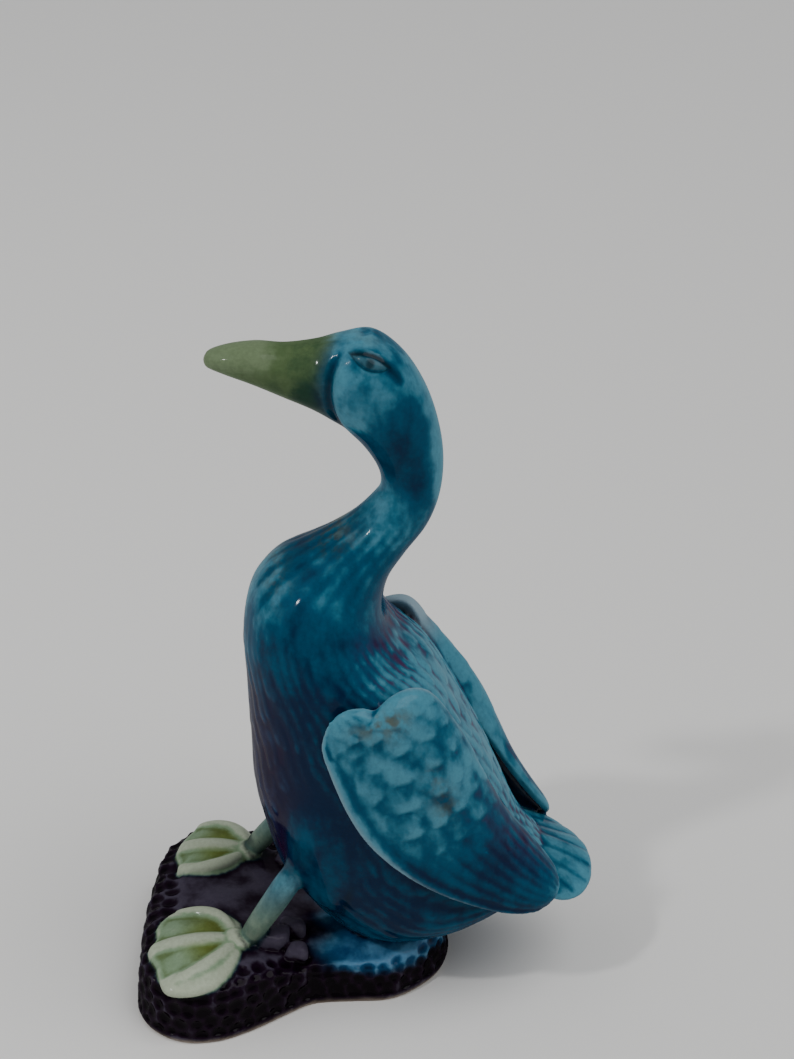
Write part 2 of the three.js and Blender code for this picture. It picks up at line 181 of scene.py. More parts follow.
def even(at, count=800):
    """The same curve with t even in length: a function of the share of its length, and the length."""
    t = np.linspace(0, 1, count + 1)
    length = np.r_[0, np.cumsum(np.linalg.norm(np.diff(at(t), axis=0), axis=1))]
    return lambda share: np.interp(share, length / length[-1], t), length[-1]


print("halfway along a curve over three points:", curve([[0, 0], [1, 1], [2, 0]])(0.5))

# %% [markdown]
# ## Clay forms
#
# A closed form with two ends could start as a UV sphere, but one this fine is slow to make. A
# bmesh grid is quick, and is rolled up like a slab of clay: its columns go around, its rows run
# from one end to the other, and the seam and both ends are merged. place(turn, along) says
# where the skin goes, and carving pushes it in or out. With each vertex goes a row of paint
# marks, which say later what colour the glaze has there.

# %% Forms
# The deep and pale marks hold glaze marks and also painted shade and painted light; dark also holds a
# painted shadow under each thigh.
MARKS = "bill leg foot web rock run purple pale deep dark smoke worn biscuit".split()
STEP = 0.0008
SEAM_GAP = 0.004
DETAIL = 1
TINY = 1e-12
forms = []


def read_points(mesh):
    flat = np.empty(len(mesh.vertices) * 3)
    mesh.vertices.foreach_get("co", flat)
    return flat.reshape(-1, 3)


def to_mesh(bm, mesh):
    """Writes what was modelled into a mesh, and frees the rest."""
    bm.to_mesh(mesh)
    bm.free()
    return mesh


def grid(name, columns, rows, size=1.0):
    bm = bmesh.new()
    bmesh.ops.create_grid(bm, x_segments=columns, y_segments=rows, size=size)
    return to_mesh(bm, bpy.data.meshes.new(name))


def one_long(vectors):
    """Each vector made one unit long."""
    return vectors / np.maximum(np.linalg.norm(vectors, axis=1, keepdims=True), TINY)


def roll(name, around, rows, place, paint, carve=None):
    """A closed form: a grid rolled up to place(turn, along), carved and marked for paint."""
    mesh = grid(name, int(around * DETAIL), int(rows * DETAIL))
    flat = read_points(mesh)
    turn, along = (flat[:, 0] + 1) / 2, (flat[:, 1] + 1) / 2
    points = place(turn, along)
    inner = np.clip(along, STEP, 1 - STEP)
    across = place(turn + STEP, inner) - place(turn - STEP, inner)
    onward = place(turn, inner + STEP) - place(turn, inner - STEP)
    skin = np.cross(onward, across)
    outwards = np.sign(np.sum(skin * points))
    if carve is not None:
        points = points + outwards * one_long(skin) * carve(turn, along, points)[:, None]
    marks = np.zeros((len(points), len(MARKS)))
    painted = paint if isinstance(paint, dict) else paint(turn, along, points)
    for mark, value in painted.items():
        marks[:, MARKS.index(mark)] = value
    mesh.vertices.foreach_set("co", points.ravel())
    if outwards > 0:
        mesh.flip_normals()
    bm = bmesh.new()
    bm.from_mesh(mesh)
    bmesh.ops.remove_doubles(bm, verts=bm.verts, dist=SEAM_GAP)
    forms.append({"name": name, "mesh": to_mesh(bm, mesh), "points": points, "marks": marks})


print("kinds of paint mark:", MARKS)

# %% [markdown]
# ## Feathers
#
# The feathers are pressed into the soft clay as rows of leaves, each lying over the next one
# towards the tail. A height map could draw them, but a formula keeps them crisp at any size:
# across counts columns and along counts rows, and every other row is shifted by half a column.

# %% Feather rows
BODY_COLUMNS = 40


def uneven(row, column):
    """A share from 0 to 1 for each feather, which looks random and is always the same."""
    mixed_up = np.sin(row * 12.99 + np.mod(column, BODY_COLUMNS) * 78.23) * 4375.85
    return mixed_up - np.floor(mixed_up)


def feathers(across, along, long=1.75, wide=0.5, point=0.62, lean=0.0, ragged=0.0):
    """Height, from 0 to 1, of rows of leaf-shaped feathers that overlap towards the tail."""
    best = np.zeros(np.broadcast(across, along).shape)
    row_here = np.floor(along)
    for back in range(-1, int(math.ceil(long)) + 2):
        row = row_here - back
        shifted = across - 0.5 * np.mod(row, 2)
        column = np.round(shifted)
        share = (along - row + ragged * (uneven(3, column) - 0.5)) / long
        off = shifted - column + lean * (share - 0.5)
        taper = np.clip((share - (1 - point)) / point, 0, 1)
        half = wide * np.sqrt(np.clip(1 - taper**2, 0, 1)) + 1e-6
        dome = np.clip(1 - (off / half) ** 2, 0, 1)
        lift = (0.3 + 0.7 * share) * (1 - ramp(share, 0.8, 1.0))
        lift = lift * (0.62 + 0.38 * uneven(row, column))
        best = np.maximum(best, np.where((share >= 0) & (share <= 1), dome * lift, 0))
    return best


sample = np.linspace(0, 1, 5)
print("heights across one feather:", feathers(sample, 0.5 + 0 * sample).round(2))

# %% [markdown]
# ## Bill, head, neck and body
#
# The biggest form is one long bag from the bill's tip to the tail's root. It could be sculpted
# or lofted from rings: here it is a row of slices, each with a front point, a back point and a
# half width, so the S of the neck comes from the slices and stays smooth.

# %% Body
# [front y, front z, back y, back z, half width, back narrowed, back squared]
BODY = [
    [-30.5, 113.6, -30.5, 113.6, 0, 0, 0],
    [-30, 112.5, -29.9, 114.7, 2, 0, 0],
    [-27.5, 111.4, -27.4, 115.7, 3.4, 0, 0],
    [-22.8, 109.6, -22.5, 116.4, 4.4, 0, 0],
    [-17.8, 107.4, -17.7, 116.2, 4.9, 0.1, 0],
    [-13, 105.2, -12.8, 116.8, 5.5, 0.1, 0],
    [-9, 102.8, -9, 117.6, 7, 0, 0.3],
    [-6.2, 100.4, -4, 118, 8.2, 0, 0.6],
    [-4.4, 98.1, 0.8, 114.8, 8.1, 0, 0.5],
    [-3, 95.4, 4.5, 109.4, 6.9, 0, 0.2],
    [-2.6, 93.3, 6.8, 102.5, 5.7, 0, 0],
    [-2.9, 91.8, 7.5, 96.5, 5.1, 0, 0],
    [-4.4, 90, 6.9, 90.7, 5.2, 0, 0],
    [-7.2, 87.3, 5, 85.7, 6, 0, 0],
    [-11, 84.6, 1.5, 81, 7.8, 0, 0],
    [-15.5, 82, -1.3, 76.8, 10.5, 0, 0.1],
    [-20.8, 79.1, -2.3, 72.5, 13.5, 0, 0.3],
    [-24.1, 75, -1.9, 69, 15.5, 0, 0.5],
    [-25.7, 67.4, 0.4, 65.2, 17.4, 0, 0.7],
    [-25.4, 58, 5.8, 60, 19, 0, 0.8],
    [-25.1, 48, 11, 52, 19.4, 0.05, 0.75],
    [-24.7, 38, 15.3, 44, 19.2, 0.18, 0.65],
    [-22.8, 29, 18.6, 36.5, 18.9, 0.26, 0.5],
    [-19.8, 20.5, 20.6, 32, 18.4, 0.28, 0.4],
    [-9, 8.8, 22, 29.6, 17.4, 0.18, 0.1],
    [0, 8, 23.5, 27.6, 16, 0.1, 0],
    [9, 10.7, 25, 25.6, 13.5, 0, 0],
    [18, 15.5, 26.5, 23, 9.5, 0, 0],
    [23.5, 18.6, 26.8, 21, 5, 0, 0],
    [26, 19.4, 26, 19.4, 0, 0, 0],
]
body_front = curve([[s[4], s[0], s[1]] for s in BODY])
body_back = curve([[s[5], s[2], s[3]] for s in BODY])
body_square = curve([[s[6], k, 0] for k, s in enumerate(BODY)])
body_spine = curve([[0, (s[0] + s[2]) / 2, (s[1] + s[3]) / 2] for s in BODY])
slice_at, SPINE_LONG = even(body_spine)


def body_place(turn, along):
    t = slice_at(along)
    front, back = body_front(t), body_back(t)
    to_back, sideways = np.cos(2 * math.pi * turn), np.sin(2 * math.pi * turn)
    square = np.clip(body_square(t)[:, 0], 0, 1.4)
    power = np.where(to_back > 0, 1 - 0.4 * square, 1.0)
    half = np.where((along > 0) & (along < 1), np.maximum(front[:, 0], 0), 0)
    width = half * (1 - np.clip(back[:, 0], 0, 1) * ramp(to_back, 0, 1))
    share = 0.5 + 0.5 * np.sign(to_back) * np.abs(to_back) ** power
    side = width * np.sign(sideways) * np.abs(sideways) ** power
    return np.stack([side, lerp(front[:, 1], back[:, 1], share), lerp(front[:, 2], back[:, 2], share)], 1)


print("the body's middle line is", round(SPINE_LONG, 1), "mm long")

# %% [markdown]
# ## The eyes' shape
#
# Each eye is a low almond with a groove round it and a lid round that. It could be modelled on
# its own, but it is pressed from the same clay, so it is only a place: how far along the slit
# and across it a point is, and how far out from the middle that makes it.

# %% Eye shape
EYE = np.array([-4.1, 115.1])
EYE_LONG = 3.1
EYE_HIGH = 1.0
EYE_SLANT = math.radians(-19)
EYE_OUT = 3
EYE_ABOVE = 105


def ridge(distance, width):
    """1 on a line, fading out over this width on both sides."""
    return np.exp(-((distance / width) ** 2))


def eye_frame(points):
    """Places around an eye: along the slit, towards the nape, and across it, upwards."""
    dy, dz = points[:, 1] - EYE[0], points[:, 2] - EYE[1]
    along = dy * math.cos(EYE_SLANT) + dz * math.sin(EYE_SLANT)
    across = -dy * math.sin(EYE_SLANT) + dz * math.cos(EYE_SLANT)
    return along, across


def almond(points):
    """How far from an eye's middle a point is: 1 on the almond edge of the eyeball."""
    along, across = eye_frame(points)
    lid = EYE_HIGH * np.clip(1 - (along / EYE_LONG) ** 2, 0.02, 1)
    on_side = (np.abs(points[:, 0]) > EYE_OUT) & (points[:, 2] > EYE_ABOVE)
    return np.where(on_side, np.hypot(across / lid, (along / EYE_LONG) ** 3), 9.0)


def eye_tail(points):
    """The groove that trails from the eye's rear corner down the cheek."""
    along, across = eye_frame(points)
    wander = across + 0.55 * np.clip(along - EYE_LONG, 0, 9)
    starts = ramp(along, EYE_LONG - 0.6, EYE_LONG)
    ends = ramp(along, EYE_LONG + 1.6, EYE_LONG + 3.2)
    return ridge(wander, 0.6) * starts * (1 - ends) * (np.abs(points[:, 0]) > EYE_OUT)


print("each eye is", 2 * EYE_LONG, "mm long and", 2 * EYE_HIGH, "mm high")

# %% [markdown]
# ## Carving on the body
#
# A groove parts the bill from the face, lids ring each eye, and soft flutes run down the neck
# and open into feathers on the breast and back. They are pushes along the skin, which is how a
# modelling tool works on the clay.

# %% Body carving
FEATHER_LONG = 4.6
FEATHER_DEEP_ON_BACK = 0.36
FEATHER_DEEP_IN_FRONT = 0.22
FEATHERS_FROM_TO = (76, 60)
FLUTE_HIGH = 0.1
CREASE_Y = -10.6
CREASE_BOW = 0.045
CREASE_DEEP = 0.4
CHEEK_HIGH = 0.35
EYEBALL_HIGH = 0.28
LID_GROOVE_DEEP = 0.32
LID_HIGH = 0.16
LID_WIDE = 0.16
EYEBALL_EDGE = 0.85
LID_GROOVE_AT = 0.98
LID_AT = 1.3
FEATHER_MIDDLE = 0.45
EYE_TAIL_DEEP = 0.25


def crease(points):
    """How far behind the bill's crease a point is, in mm. The crease bows forwards low down."""
    return points[:, 1] - CREASE_Y - CREASE_BOW * (points[:, 2] - 110.0) ** 2


def body_feather_height(turn, along):
    side = np.sin(2 * math.pi * turn)
    to_back = np.cos(2 * math.pi * turn)
    rows = along * SPINE_LONG / FEATHER_LONG
    wander = 0.16 * np.sin(0.9 * rows + 5 * to_back) + 0.1 * np.sin(2.3 * rows + 9 * side)
    across = turn * BODY_COLUMNS + wander
    rows = rows + 0.22 * np.sin(11 * to_back + 0.4 * rows) + 0.12 * np.sin(23 * side)
    on_back = ramp(to_back, -0.3, 0.6)
    wide = lerp(0.44, 0.52, on_back)
    return feathers(across, rows, long=1.6, wide=wide, lean=0.9 * side, ragged=lerp(0.9, 0.3, on_back))


def plumage(along):
    """1 where the body is wide enough for feathers, fading out up the neck."""
    slice_here = slice_at(along)
    middle_z = (body_front(slice_here)[:, 2] + body_back(slice_here)[:, 2]) / 2
    return ramp(middle_z, *FEATHERS_FROM_TO)


def body_carve(turn, along, points):
    z = points[:, 2]
    behind = crease(points)
    head = ramp(z, 101, 105)
    push = -CREASE_DEEP * ridge(behind, 0.6) * head * (1 - ramp(z, 114.5, 117.2))
    cheek = ramp(behind, 0.2, 1.2) * (1 - ramp(behind, 1.5, 6)) * ramp(z, 116, 111)
    push += CHEEK_HIGH * cheek * head
    reach = almond(points)
    push += EYEBALL_HIGH * np.sqrt(np.clip(1 - (reach / EYEBALL_EDGE) ** 2, 0, 1))
    push -= LID_GROOVE_DEEP * ridge(reach - LID_GROOVE_AT, LID_WIDE)
    push += LID_HIGH * ridge(reach - LID_AT, LID_WIDE)
    push -= EYE_TAIL_DEEP * eye_tail(points)
    to_front = -np.cos(2 * math.pi * turn)
    flutes = np.abs(np.sin(math.pi * turn * BODY_COLUMNS / 2)) - 0.6
    low_neck = ramp(z, 90, 84) * ramp(z, 70, 78) * ramp(to_front, -0.9, -0.4)
    push += FLUTE_HIGH * flutes * low_neck
    deep = lerp(FEATHER_DEEP_ON_BACK, FEATHER_DEEP_IN_FRONT, ramp(to_front, -0.6, 0.1))
    return push + deep * plumage(along) * (body_feather_height(turn, along) - FEATHER_MIDDLE)


print("feathers along the body:", round(SPINE_LONG / FEATHER_LONG))

# %% [markdown]
# ## Paint marks on the body
#
# The potter's brush leaves turquoise thick in some places and thin in others. Some patches
# are painted light and shade instead: painted shade on the breast and belly, and painted light
# and highlights on the back, nape, neck front, breast and face. These could be painted by hand
# on the mesh, but soft patches in a table are easier to move and to read.

# %% Body paint
# [how much, y, z, half its length, half its height] of each soft patch
BODY_PATCHES = {
    "deep": [
        # painted shade on the breast, turned away from the light
        [1.3, -14, 67, 7.5, 12],
        [0.65, 1.5, 99, 4.5, 8],
        [0.4, 4.5, 91, 3, 5],
        [0.6, -0.5, 105.5, 4, 5],
        [0.35, -3, 118, 5, 3],
    ],
    "pale": [
        # painted highlight on the face, just behind the bill's groove
        [0.35, -9, 112, 1.6, 5],
        # painted light on a band of the breast
        [0.3, -6, 74, 4, 7],
        # painted highlight at the front of the shoulder
        [0.5, -21.5, 76, 4, 5],
        [0.5, -5, 118.5, 2, 1],
        # painted light on the front of the neck, and below it a painted highlight there
        [0.6, -8, 86, 5, 4],
        [1.1, -2.5, 91.5, 3, 4.5],
    ],
    "smoke": [[1, -12, 85.5, 5, 2.8], [0.5, -20, 79, 3, 3], [0.3, -4, 118.5, 4, 1.8]],
}


def patches(rows, across, up):
    """Soft patches added up, each with its amount, its place and its size both ways."""
    return sum(much * ridge(across - a, wide) * ridge(up - b, high) for much, a, b, wide, high in rows)


def body_paint(turn, along, points):
    y, z = points[:, 1], points[:, 2]
    deep, pale, smoke = (patches(rows, y, z) for rows in BODY_PATCHES.values())
    to_back = np.cos(2 * math.pi * turn)
    behind = crease(points)
    head = ramp(z, 100, 104)
    bill = (1 - ramp(behind, -3.4, -0.3)) * head
    dark = 0.85 * ridge(behind + 0.2, 0.9) * head * (1 - ramp(z, 112, 116.5))
    dark += 0.65 * eye_tail(points)
    # Painted shade: the lower body and the lower breast are darkened where they turn downwards.
    deep += 1.1 * ramp(z, 64, 40) * (1 - ramp(to_back, 0.0, 0.7))
    deep += 0.35 * ramp(z, 78, 64) * ramp(-to_back, -0.2, 0.4)
    deep += 0.8 * ridge(behind + 1.8, 1.8) * head * (1 - ramp(z, 113, 117))
    low_bill = ramp(behind, -10, -2) * 0.8 + 0.5 * ramp(z - 109 + 0.45 * behind, 1.5, -2.5)
    # Painted light: the back is paler where light falls from above, and the nape is paler as a painted
    # reflection.
    pale += 0.8 * ramp(to_back, 0.1, 0.8) * plumage(along)
    pale += 0.8 * ramp(to_back, 0.5, 1.0) * ramp(z, 86, 92) * ramp(z, 115, 109)
    bill_top = ramp(to_back, -0.4, 0.9) * 0.6 + 0.6 * ramp(behind, -6, -20)
    purple = 0.75 * ramp(z, 68, 50) * ramp(-to_back, 0.3, 0.9) * ramp(z, 20, 30)
    purple += 0.9 * ramp(to_back, 0.2, 0.8) * ramp(z, 80, 66)
    marks = {"bill": bill, "dark": dark, "deep": lerp(deep, low_bill, bill)}
    marks |= {"pale": lerp(pale, bill_top, bill), "purple": purple, "smoke": smoke}
    return {name: np.clip(amount, 0, 1) for name, amount in marks.items()}


roll("body", 380, 560, body_place, body_paint, body_carve)
print("body form:", len(forms[-1]["points"]), "vertices")

# %% [markdown]
# ## Wings
#
# Each wing is a thick leaf of clay, stuck to the body at the shoulder and free behind. It
# could be a thickened plane, but its lower edge, back edge and roll towards the back all
# differ along it, so it is a row of slices square to the line from the shoulder to the tip.

# %% Wing shape
WING_THICK = 2.4
WING_RIM_HIGH = 0.45
WING_RIM_WIDE = (0.03, 0.08)
WING_SLOPE = math.radians(48.3)
WING_BULGE = 0.8
WING_ROOT_DEEP = 4.6
WING_ROOT_FROM = (0.1, 0.35)
WING_ROOT_TO = (0.52, 0.66)
SWELL_MIDDLE = -27
SWELL_LONG = 12
PRESSED_FROM = (-48, -41)
PRESSED_TO = (-34, -14)
# (side, how far its back edge swells, how far it is pressed in, how worn its front lobe is)
WINGS = {"left": (1, 0.5, 0.0, 0.0), "right": (-1, 2.8, 2.0, 0.9)}
# [run along the wing, rise of the lower edge, rise of the back edge, x of the one, x of the other]
WING = [
    [-51.6, 32.6, 32.6, 20.4, 20.4],
    [-51, 30.6, 34.8, 20.6, 20],
    [-49.4, 28.2, 36.6, 20.8, 19.4],
    [-47.4, 26.9, 37.8, 20.9, 18.8],
    [-46.8, 26.6, 41, 20.9, 17.2],
    [-45.5, 26, 43.3, 20.9, 15.8],
    [-43, 24.9, 44.4, 20.9, 14.4],
    [-38, 23, 43.8, 20.9, 13],
    [-32, 21.5, 42.2, 20.7, 12],
    [-26, 21.3, 40.3, 20.4, 11.2],
    [-20, 22, 38.6, 19.9, 10.2],
    [-14, 23.6, 37.5, 19.2, 9.4],
    [-8, 26, 37, 18.2, 8.8],
    [-3.6, 28.1, 36.7, 17, 8.8],
    [-0.4, 30.4, 36.3, 15.6, 9.6],
    [1.2, 32.6, 35.5, 14.2, 11],
    [1.8, 34, 34, 12.6, 12.6],
]
wing_line = curve([[s[0], s[1], s[2]] for s in WING])
wing_sides = curve([[s[3], s[4], k] for k, s in enumerate(WING)])


def wing_sheet(swell, pressed, along, across):
    """The wing's middle surface, and how far along and up it each point is."""
    line, sides = wing_line(along), wing_sides(along)
    run, low = line[:, 0], line[:, 1]
    high = line[:, 2] - pressed * ramp(run, *PRESSED_FROM) * (1 - ramp(run, *PRESSED_TO))
    past = swell * np.exp(-(((run - SWELL_MIDDLE) / SWELL_LONG) ** 2))
    curl = math.pi - np.arcsin(1 / (1 + past / np.maximum(high - low, 1)))
    rise = lerp(low, high, np.sin(curl * across) / np.sin(curl))
    inwards = (1 - np.cos(curl * across)) / (1 - np.cos(curl))
    bulge = WING_BULGE * np.sin(math.pi * across) * np.minimum((high - low) / 10, 1)
    x = lerp(sides[:, 0], sides[:, 1], inwards) + bulge
    y = run * math.cos(WING_SLOPE) + rise * math.sin(WING_SLOPE)
    z = rise * math.cos(WING_SLOPE) - run * math.sin(WING_SLOPE)
    return np.stack([x, y, z], 1), run


print("a wing is", round(WING[-1][0] - WING[0][0], 1), "mm long")

# %% [markdown]
# ## Carving on the wings
#
# Small feathers cover the front half of a wing, and long ones run to its tip. The side that
# faces the body has the same, cut lighter. A raised rim goes along the lower edge, where the
# potter's thumb turned the clay over. Each feather could be a piece of its own, but they are
# pressed in, so the rows of the body are used again.

# %% Wing carving
FLIGHT_FEATHERS = 10
FLIGHT_FROM = (-27, -16)
FLIGHT_DEEP = 0.25
COVERT_COLUMNS = 6
COVERT_LONG = 4.6
COVERT_DEEP = 0.32
LINING_DEEP = 0.2


def wing_feathers(run, across):
    """Height of the carving on a wing's outer side: small feathers, then long ones to the tip."""
    bent = 0.14 * np.sin(0.33 * run + 6 * across)
    rows = (run + 52) / COVERT_LONG + 0.12 * np.sin(9 * across + 0.2 * run) - 0.9 * across
    coverts = feathers(across * COVERT_COLUMNS + bent, rows, long=1.5, wide=0.56, point=0.4)
    line = across * FLIGHT_FEATHERS + 0.25 + 0.3 * bent
    share = line - np.floor(line)
    flight = np.sqrt(np.clip(1 - (2 * share - 1) ** 2, 0, 1)) * (0.75 + 0.25 * share)
    lower_band = 1 - ramp(across, 0.1, 0.16)
    later = ramp(run - 9 * across, *FLIGHT_FROM)
    height = lerp(coverts, flight, later)
    return lerp(height, 0.6, lower_band * (1 - later))


def wing_place(side, sheet, turn, along):
    across = (1 - np.cos(2 * math.pi * turn)) / 2
    point, run = sheet(along, across)
    fore, aft = np.clip(along + STEP, 0, 1), np.clip(along - STEP, 0, 1)
    upper, lower = np.clip(across + STEP, 0, 1), np.clip(across - STEP, 0, 1)
    onwards = sheet(fore, across)[0] - sheet(aft, across)[0]
    upwards = sheet(along, upper)[0] - sheet(along, lower)[0]
    normal = one_long(np.cross(onwards, upwards))
    outside = np.sin(2 * math.pi * turn)
    ends = np.clip(np.sin(math.pi * along), 0, 1) ** 0.3
    stuck = ramp(along, *WING_ROOT_FROM) * (1 - ramp(along, *WING_ROOT_TO))
    half = np.where(outside > 0, WING_THICK / 2, lerp(WING_THICK / 2, WING_ROOT_DEEP, stuck))
    depth = half * np.sign(outside) * np.abs(outside) ** 0.3 * ends
    rim = WING_RIM_HIGH * (1 - ramp(across, *WING_RIM_WIDE)) * (outside > 0) * (ends > 0.1)
    cover = np.clip(outside, 0, 1) ** 0.3 * ends
    deep = lerp(COVERT_DEEP, FLIGHT_DEEP, ramp(run, *FLIGHT_FROM))
    carving = deep * (wing_feathers(run, across) - 0.5)
    carving = carving * cover * ramp(across, 0.06, 0.12)
    lining = np.clip(-outside, 0, 1) ** 0.3 * ends * (1 - stuck)
    carving -= LINING_DEEP * (wing_feathers(run, across) - 0.55) * lining
    return (point + normal * (depth + rim + carving)[:, None]) * [side, 1, 1]


print("feathers across a wing:", COVERT_COLUMNS, "small ones,", FLIGHT_FEATHERS, "long ones")

# %% [markdown]
# ## Paint marks on the wings
#
# The wing is paler near the shoulder and darker towards the tip, with a little purple
# at the back and a few brown smudges. The front lobe of the right wing is worn nearly white.
# Strokes could be painted on the mesh, but fades along and across the wing follow its shape.

# %% Wing paint
# [how much, run, place across, half its length, half its width] of each brown smudge
WING_SMUDGES = [[1, -28, 0.42, 2.4, 0.07], [1, -33, 0.45, 1.5, 0.05], [1.2, -46, 0.5, 2.5, 0.14]]
SMUDGE_SHARE = 0.9


def wing_paint(sheet, lobe_worn, turn, along, points):
    lining_pale = lerp(0.3, 1.0, lobe_worn)
    across = (1 - np.cos(2 * math.pi * turn)) / 2
    run = sheet(along, across)[1]
    outside = np.sin(2 * math.pi * turn) > 0
    shown = np.where(outside, 1, lining_pale)
    rim = 1 - ramp(across, 0.005, 0.032)
    inside_rim = ridge(across - 0.055, 0.018)
    forward = (1 - ramp(run, -42, -14)) * (1 - 0.35 * ramp(across, 0.55, 0.8))
    towards_tip = ramp(run, -32, -4)
    front = 1 - ramp(run, -44, -36)
    edge = 0.6 * ramp(across, 0.9, 0.98)
    lobe = front * np.maximum(lobe_worn * ramp(across, 0.6, 0.9), edge)
    purple = ridge(across - 0.85, 0.28) * ramp(run, -40, -26) * (1 - 0.6 * ramp(run, -10, -2))
    pale = 0.66 * forward + 0.3 * rim + 0.5 * purple + 0.4 * lobe_worn
    deep = 0.95 * towards_tip * (1 - 0.5 * across) + 0.5 * inside_rim
    return {
        "pale": np.clip(pale, 0, 1) * shown,
        "deep": np.clip(deep, 0, 1),
        "purple": purple * np.where(outside, 0.85, 0.4),
        "smoke": np.clip(SMUDGE_SHARE * patches(WING_SMUDGES, run, across), 0, 1) * outside,
        "worn": np.maximum(0.6 * rim * outside * (1 - 0.5 * towards_tip), lobe),
    }


for name, (side, swell, pressed, lobe_worn) in WINGS.items():
    sheet = partial(wing_sheet, swell, pressed)
    roll("wing_" + name, 240, 210, partial(wing_place, side, sheet), partial(wing_paint, sheet, lobe_worn))
print("wing forms:", 2 * len(forms[-1]["points"]), "vertices")

# %% [markdown]
# ## Tail fan
#
# The tail is a flat fan with ridges that spread from its root, like feathers side by side. A
# plane with a thickness would have a sharp rim. So it is a slab: a sheet from its middle out to
# its edge, with an upper and a lower side that meet in a round.

# %% Slabs and tail
SLAB_STEP = 0.002
TAIL_THICK = 2.2
TAIL_RIDGE_HIGH = 0.22
TAIL_RIDGE_ANGLE = 0.085
TAIL_ROOT_Y = 8
TAIL_UP = (0, 0.6, 0.8)
TAIL_MIDDLE = np.array([0, 25.5, 23.6])
TAIL_EDGE = [
    [0, 34.6, 19], [5.5, 33.9, 18.8], [9.8, 31.6, 18.9], [12.4, 28, 20], [12, 23, 22.6],
    [7.5, 18, 26], [0, 16, 28],
]


def mirrored(half):
    """Both sides of a symmetric outline whose first and last points are on the middle line."""
    return half + [[-p[0], *p[1:]] for p in reversed(half[1:-1])]


def slab_place(sheet, up, thick, lift, turn, along):
    """A slab with a rounded edge. sheet(turn, reach) is its middle, and lift raises its upper side."""
    reach = np.sin(math.pi * along)
    side = np.where(along < 0.5, 1.0, -1.0)
    near = np.clip(reach, 2 * SLAB_STEP, 1 - 2 * SLAB_STEP)
    outwards = sheet(turn, near + SLAB_STEP) - sheet(turn, near - SLAB_STEP)
    onwards = sheet(turn + SLAB_STEP, near) - sheet(turn - SLAB_STEP, near)
    normal = np.cross(outwards, onwards)
    normal = one_long(normal * np.sign(normal @ np.array(up))[:, None])
    point = sheet(turn, reach)
    depth = thick / 2 * np.sqrt(np.clip(1 - reach**8, 0, 1))
    raised = np.where(side > 0, lift(point, reach), 0)
    return point + normal * (side * depth + raised)[:, None]


tail_edge = curve(mirrored(TAIL_EDGE), closed=True)
tail_to_t, _ = even(tail_edge)


def tail_sheet(turn, reach):
    return lerp(TAIL_MIDDLE, tail_edge(tail_to_t(np.mod(turn, 1))), np.asarray(reach)[:, None])


def tail_lift(point, reach):
    angle = np.arctan2(point[:, 0], point[:, 1] - TAIL_ROOT_Y)
    quill = np.abs(np.cos(math.pi * angle / TAIL_RIDGE_ANGLE / 2))
    return TAIL_RIDGE_HIGH * (quill**0.6 - 0.4) * (1 - 0.5 * ramp(reach, 0.93, 1))


def tail_paint(turn, along, points):
    return {"pale": 0.6 + 0.4 * ramp(np.sin(math.pi * along), 0.93, 1.0)}


roll("tail", 180, 120, partial(slab_place, tail_sheet, TAIL_UP, TAIL_THICK, tail_lift), tail_paint)
print("tail form:", len(forms[-1]["points"]), "vertices")

# %% [markdown]
# ## The rock
#
# The rock is high under the feet and has a lower mound behind, which carries the body. It could
# be a scaled cube, but its foot is a free outline, so rows of that outline step in and out: over
# the top, down the side, and under the foot rim into a shallow recess.

# %% Rock shape
BASE_EDGE = [
    [0, -46], [10, -45.6], [18, -44.9], [22.9, -41.9], [25.9, -36.5], [25.6, -30.5],
    [22.8, -24.8], [18.7, -19.2], [15.7, -14.5], [15, -8], [14.4, -1], [11.2, 4], [6.5, 7.8],
    [0, 9.4],
]
BASE_MIDDLE_Y = -20
ROCK_FRONT = 10.6
ROCK_REAR = 9.6
ROCK_REAR_RIM = 7.0
SWELLINGS = [[-1.0, -33.0, 0.6, 5.0], [14.5, -35.0, 0.8, 7.0], [-16.5, -34.0, 0.8, 7.0]]
RECESS_DEEP = 2.5
# Each row: how far out it is, what share of the rock's height it has, and what is added.
ROCK_ROWS = [
    [0, 1, 0], [0.9, 1, 0], [0.965, 1, -0.7], [0.985, 0.75, 0], [1, 0, 1.2], [0.985, 0, 0],
    [0.9, 0, 0], [0.86, 0, RECESS_DEEP], [0, 0, RECESS_DEEP],
]
ROCK_ROW_AT = [0, 0.44, 0.5, 0.54, 0.72, 0.75, 0.82, 0.87, 1]


def rock(x, y):
    """The height of the rock's upper side."""
    rear = ramp(y, -26, -12)
    height = lerp(ROCK_FRONT, ROCK_REAR, rear)
    height = height - rear * (ROCK_REAR - ROCK_REAR_RIM) * ramp(np.abs(x), 7, 15)
    for lump_x, lump_y, high, radius in SWELLINGS:
        height = height + high * np.exp(-(((x - lump_x) ** 2 + (y - lump_y) ** 2) / radius**2))
    return height


base_edge = curve([[*p, 0] for p in mirrored(BASE_EDGE)], closed=True)
base_to_t, BASE_AROUND_LONG = even(base_edge)


def rock_place(turn, along):
    rows = np.array(ROCK_ROWS, float)
    reach, share, extra = (np.interp(along, ROCK_ROW_AT, rows[:, k]) for k in range(3))
    rim = base_edge(base_to_t(np.mod(turn, 1)))
    x = rim[:, 0] * reach
    y = lerp(BASE_MIDDLE_Y, rim[:, 1], reach)
    return np.stack([x, y, share * rock(x, y) + extra], 1)


print("the rock is", round(BASE_AROUND_LONG, 1), "mm around")

# %% [markdown]
# ## Pits in the rock
#
# Its side is pitted all round by the end of a small round tool. The pits could be a texture,
# but they show in the outline, so each one is a real hollow: rings of places with a little
# seeded wander, pressed into the skin.

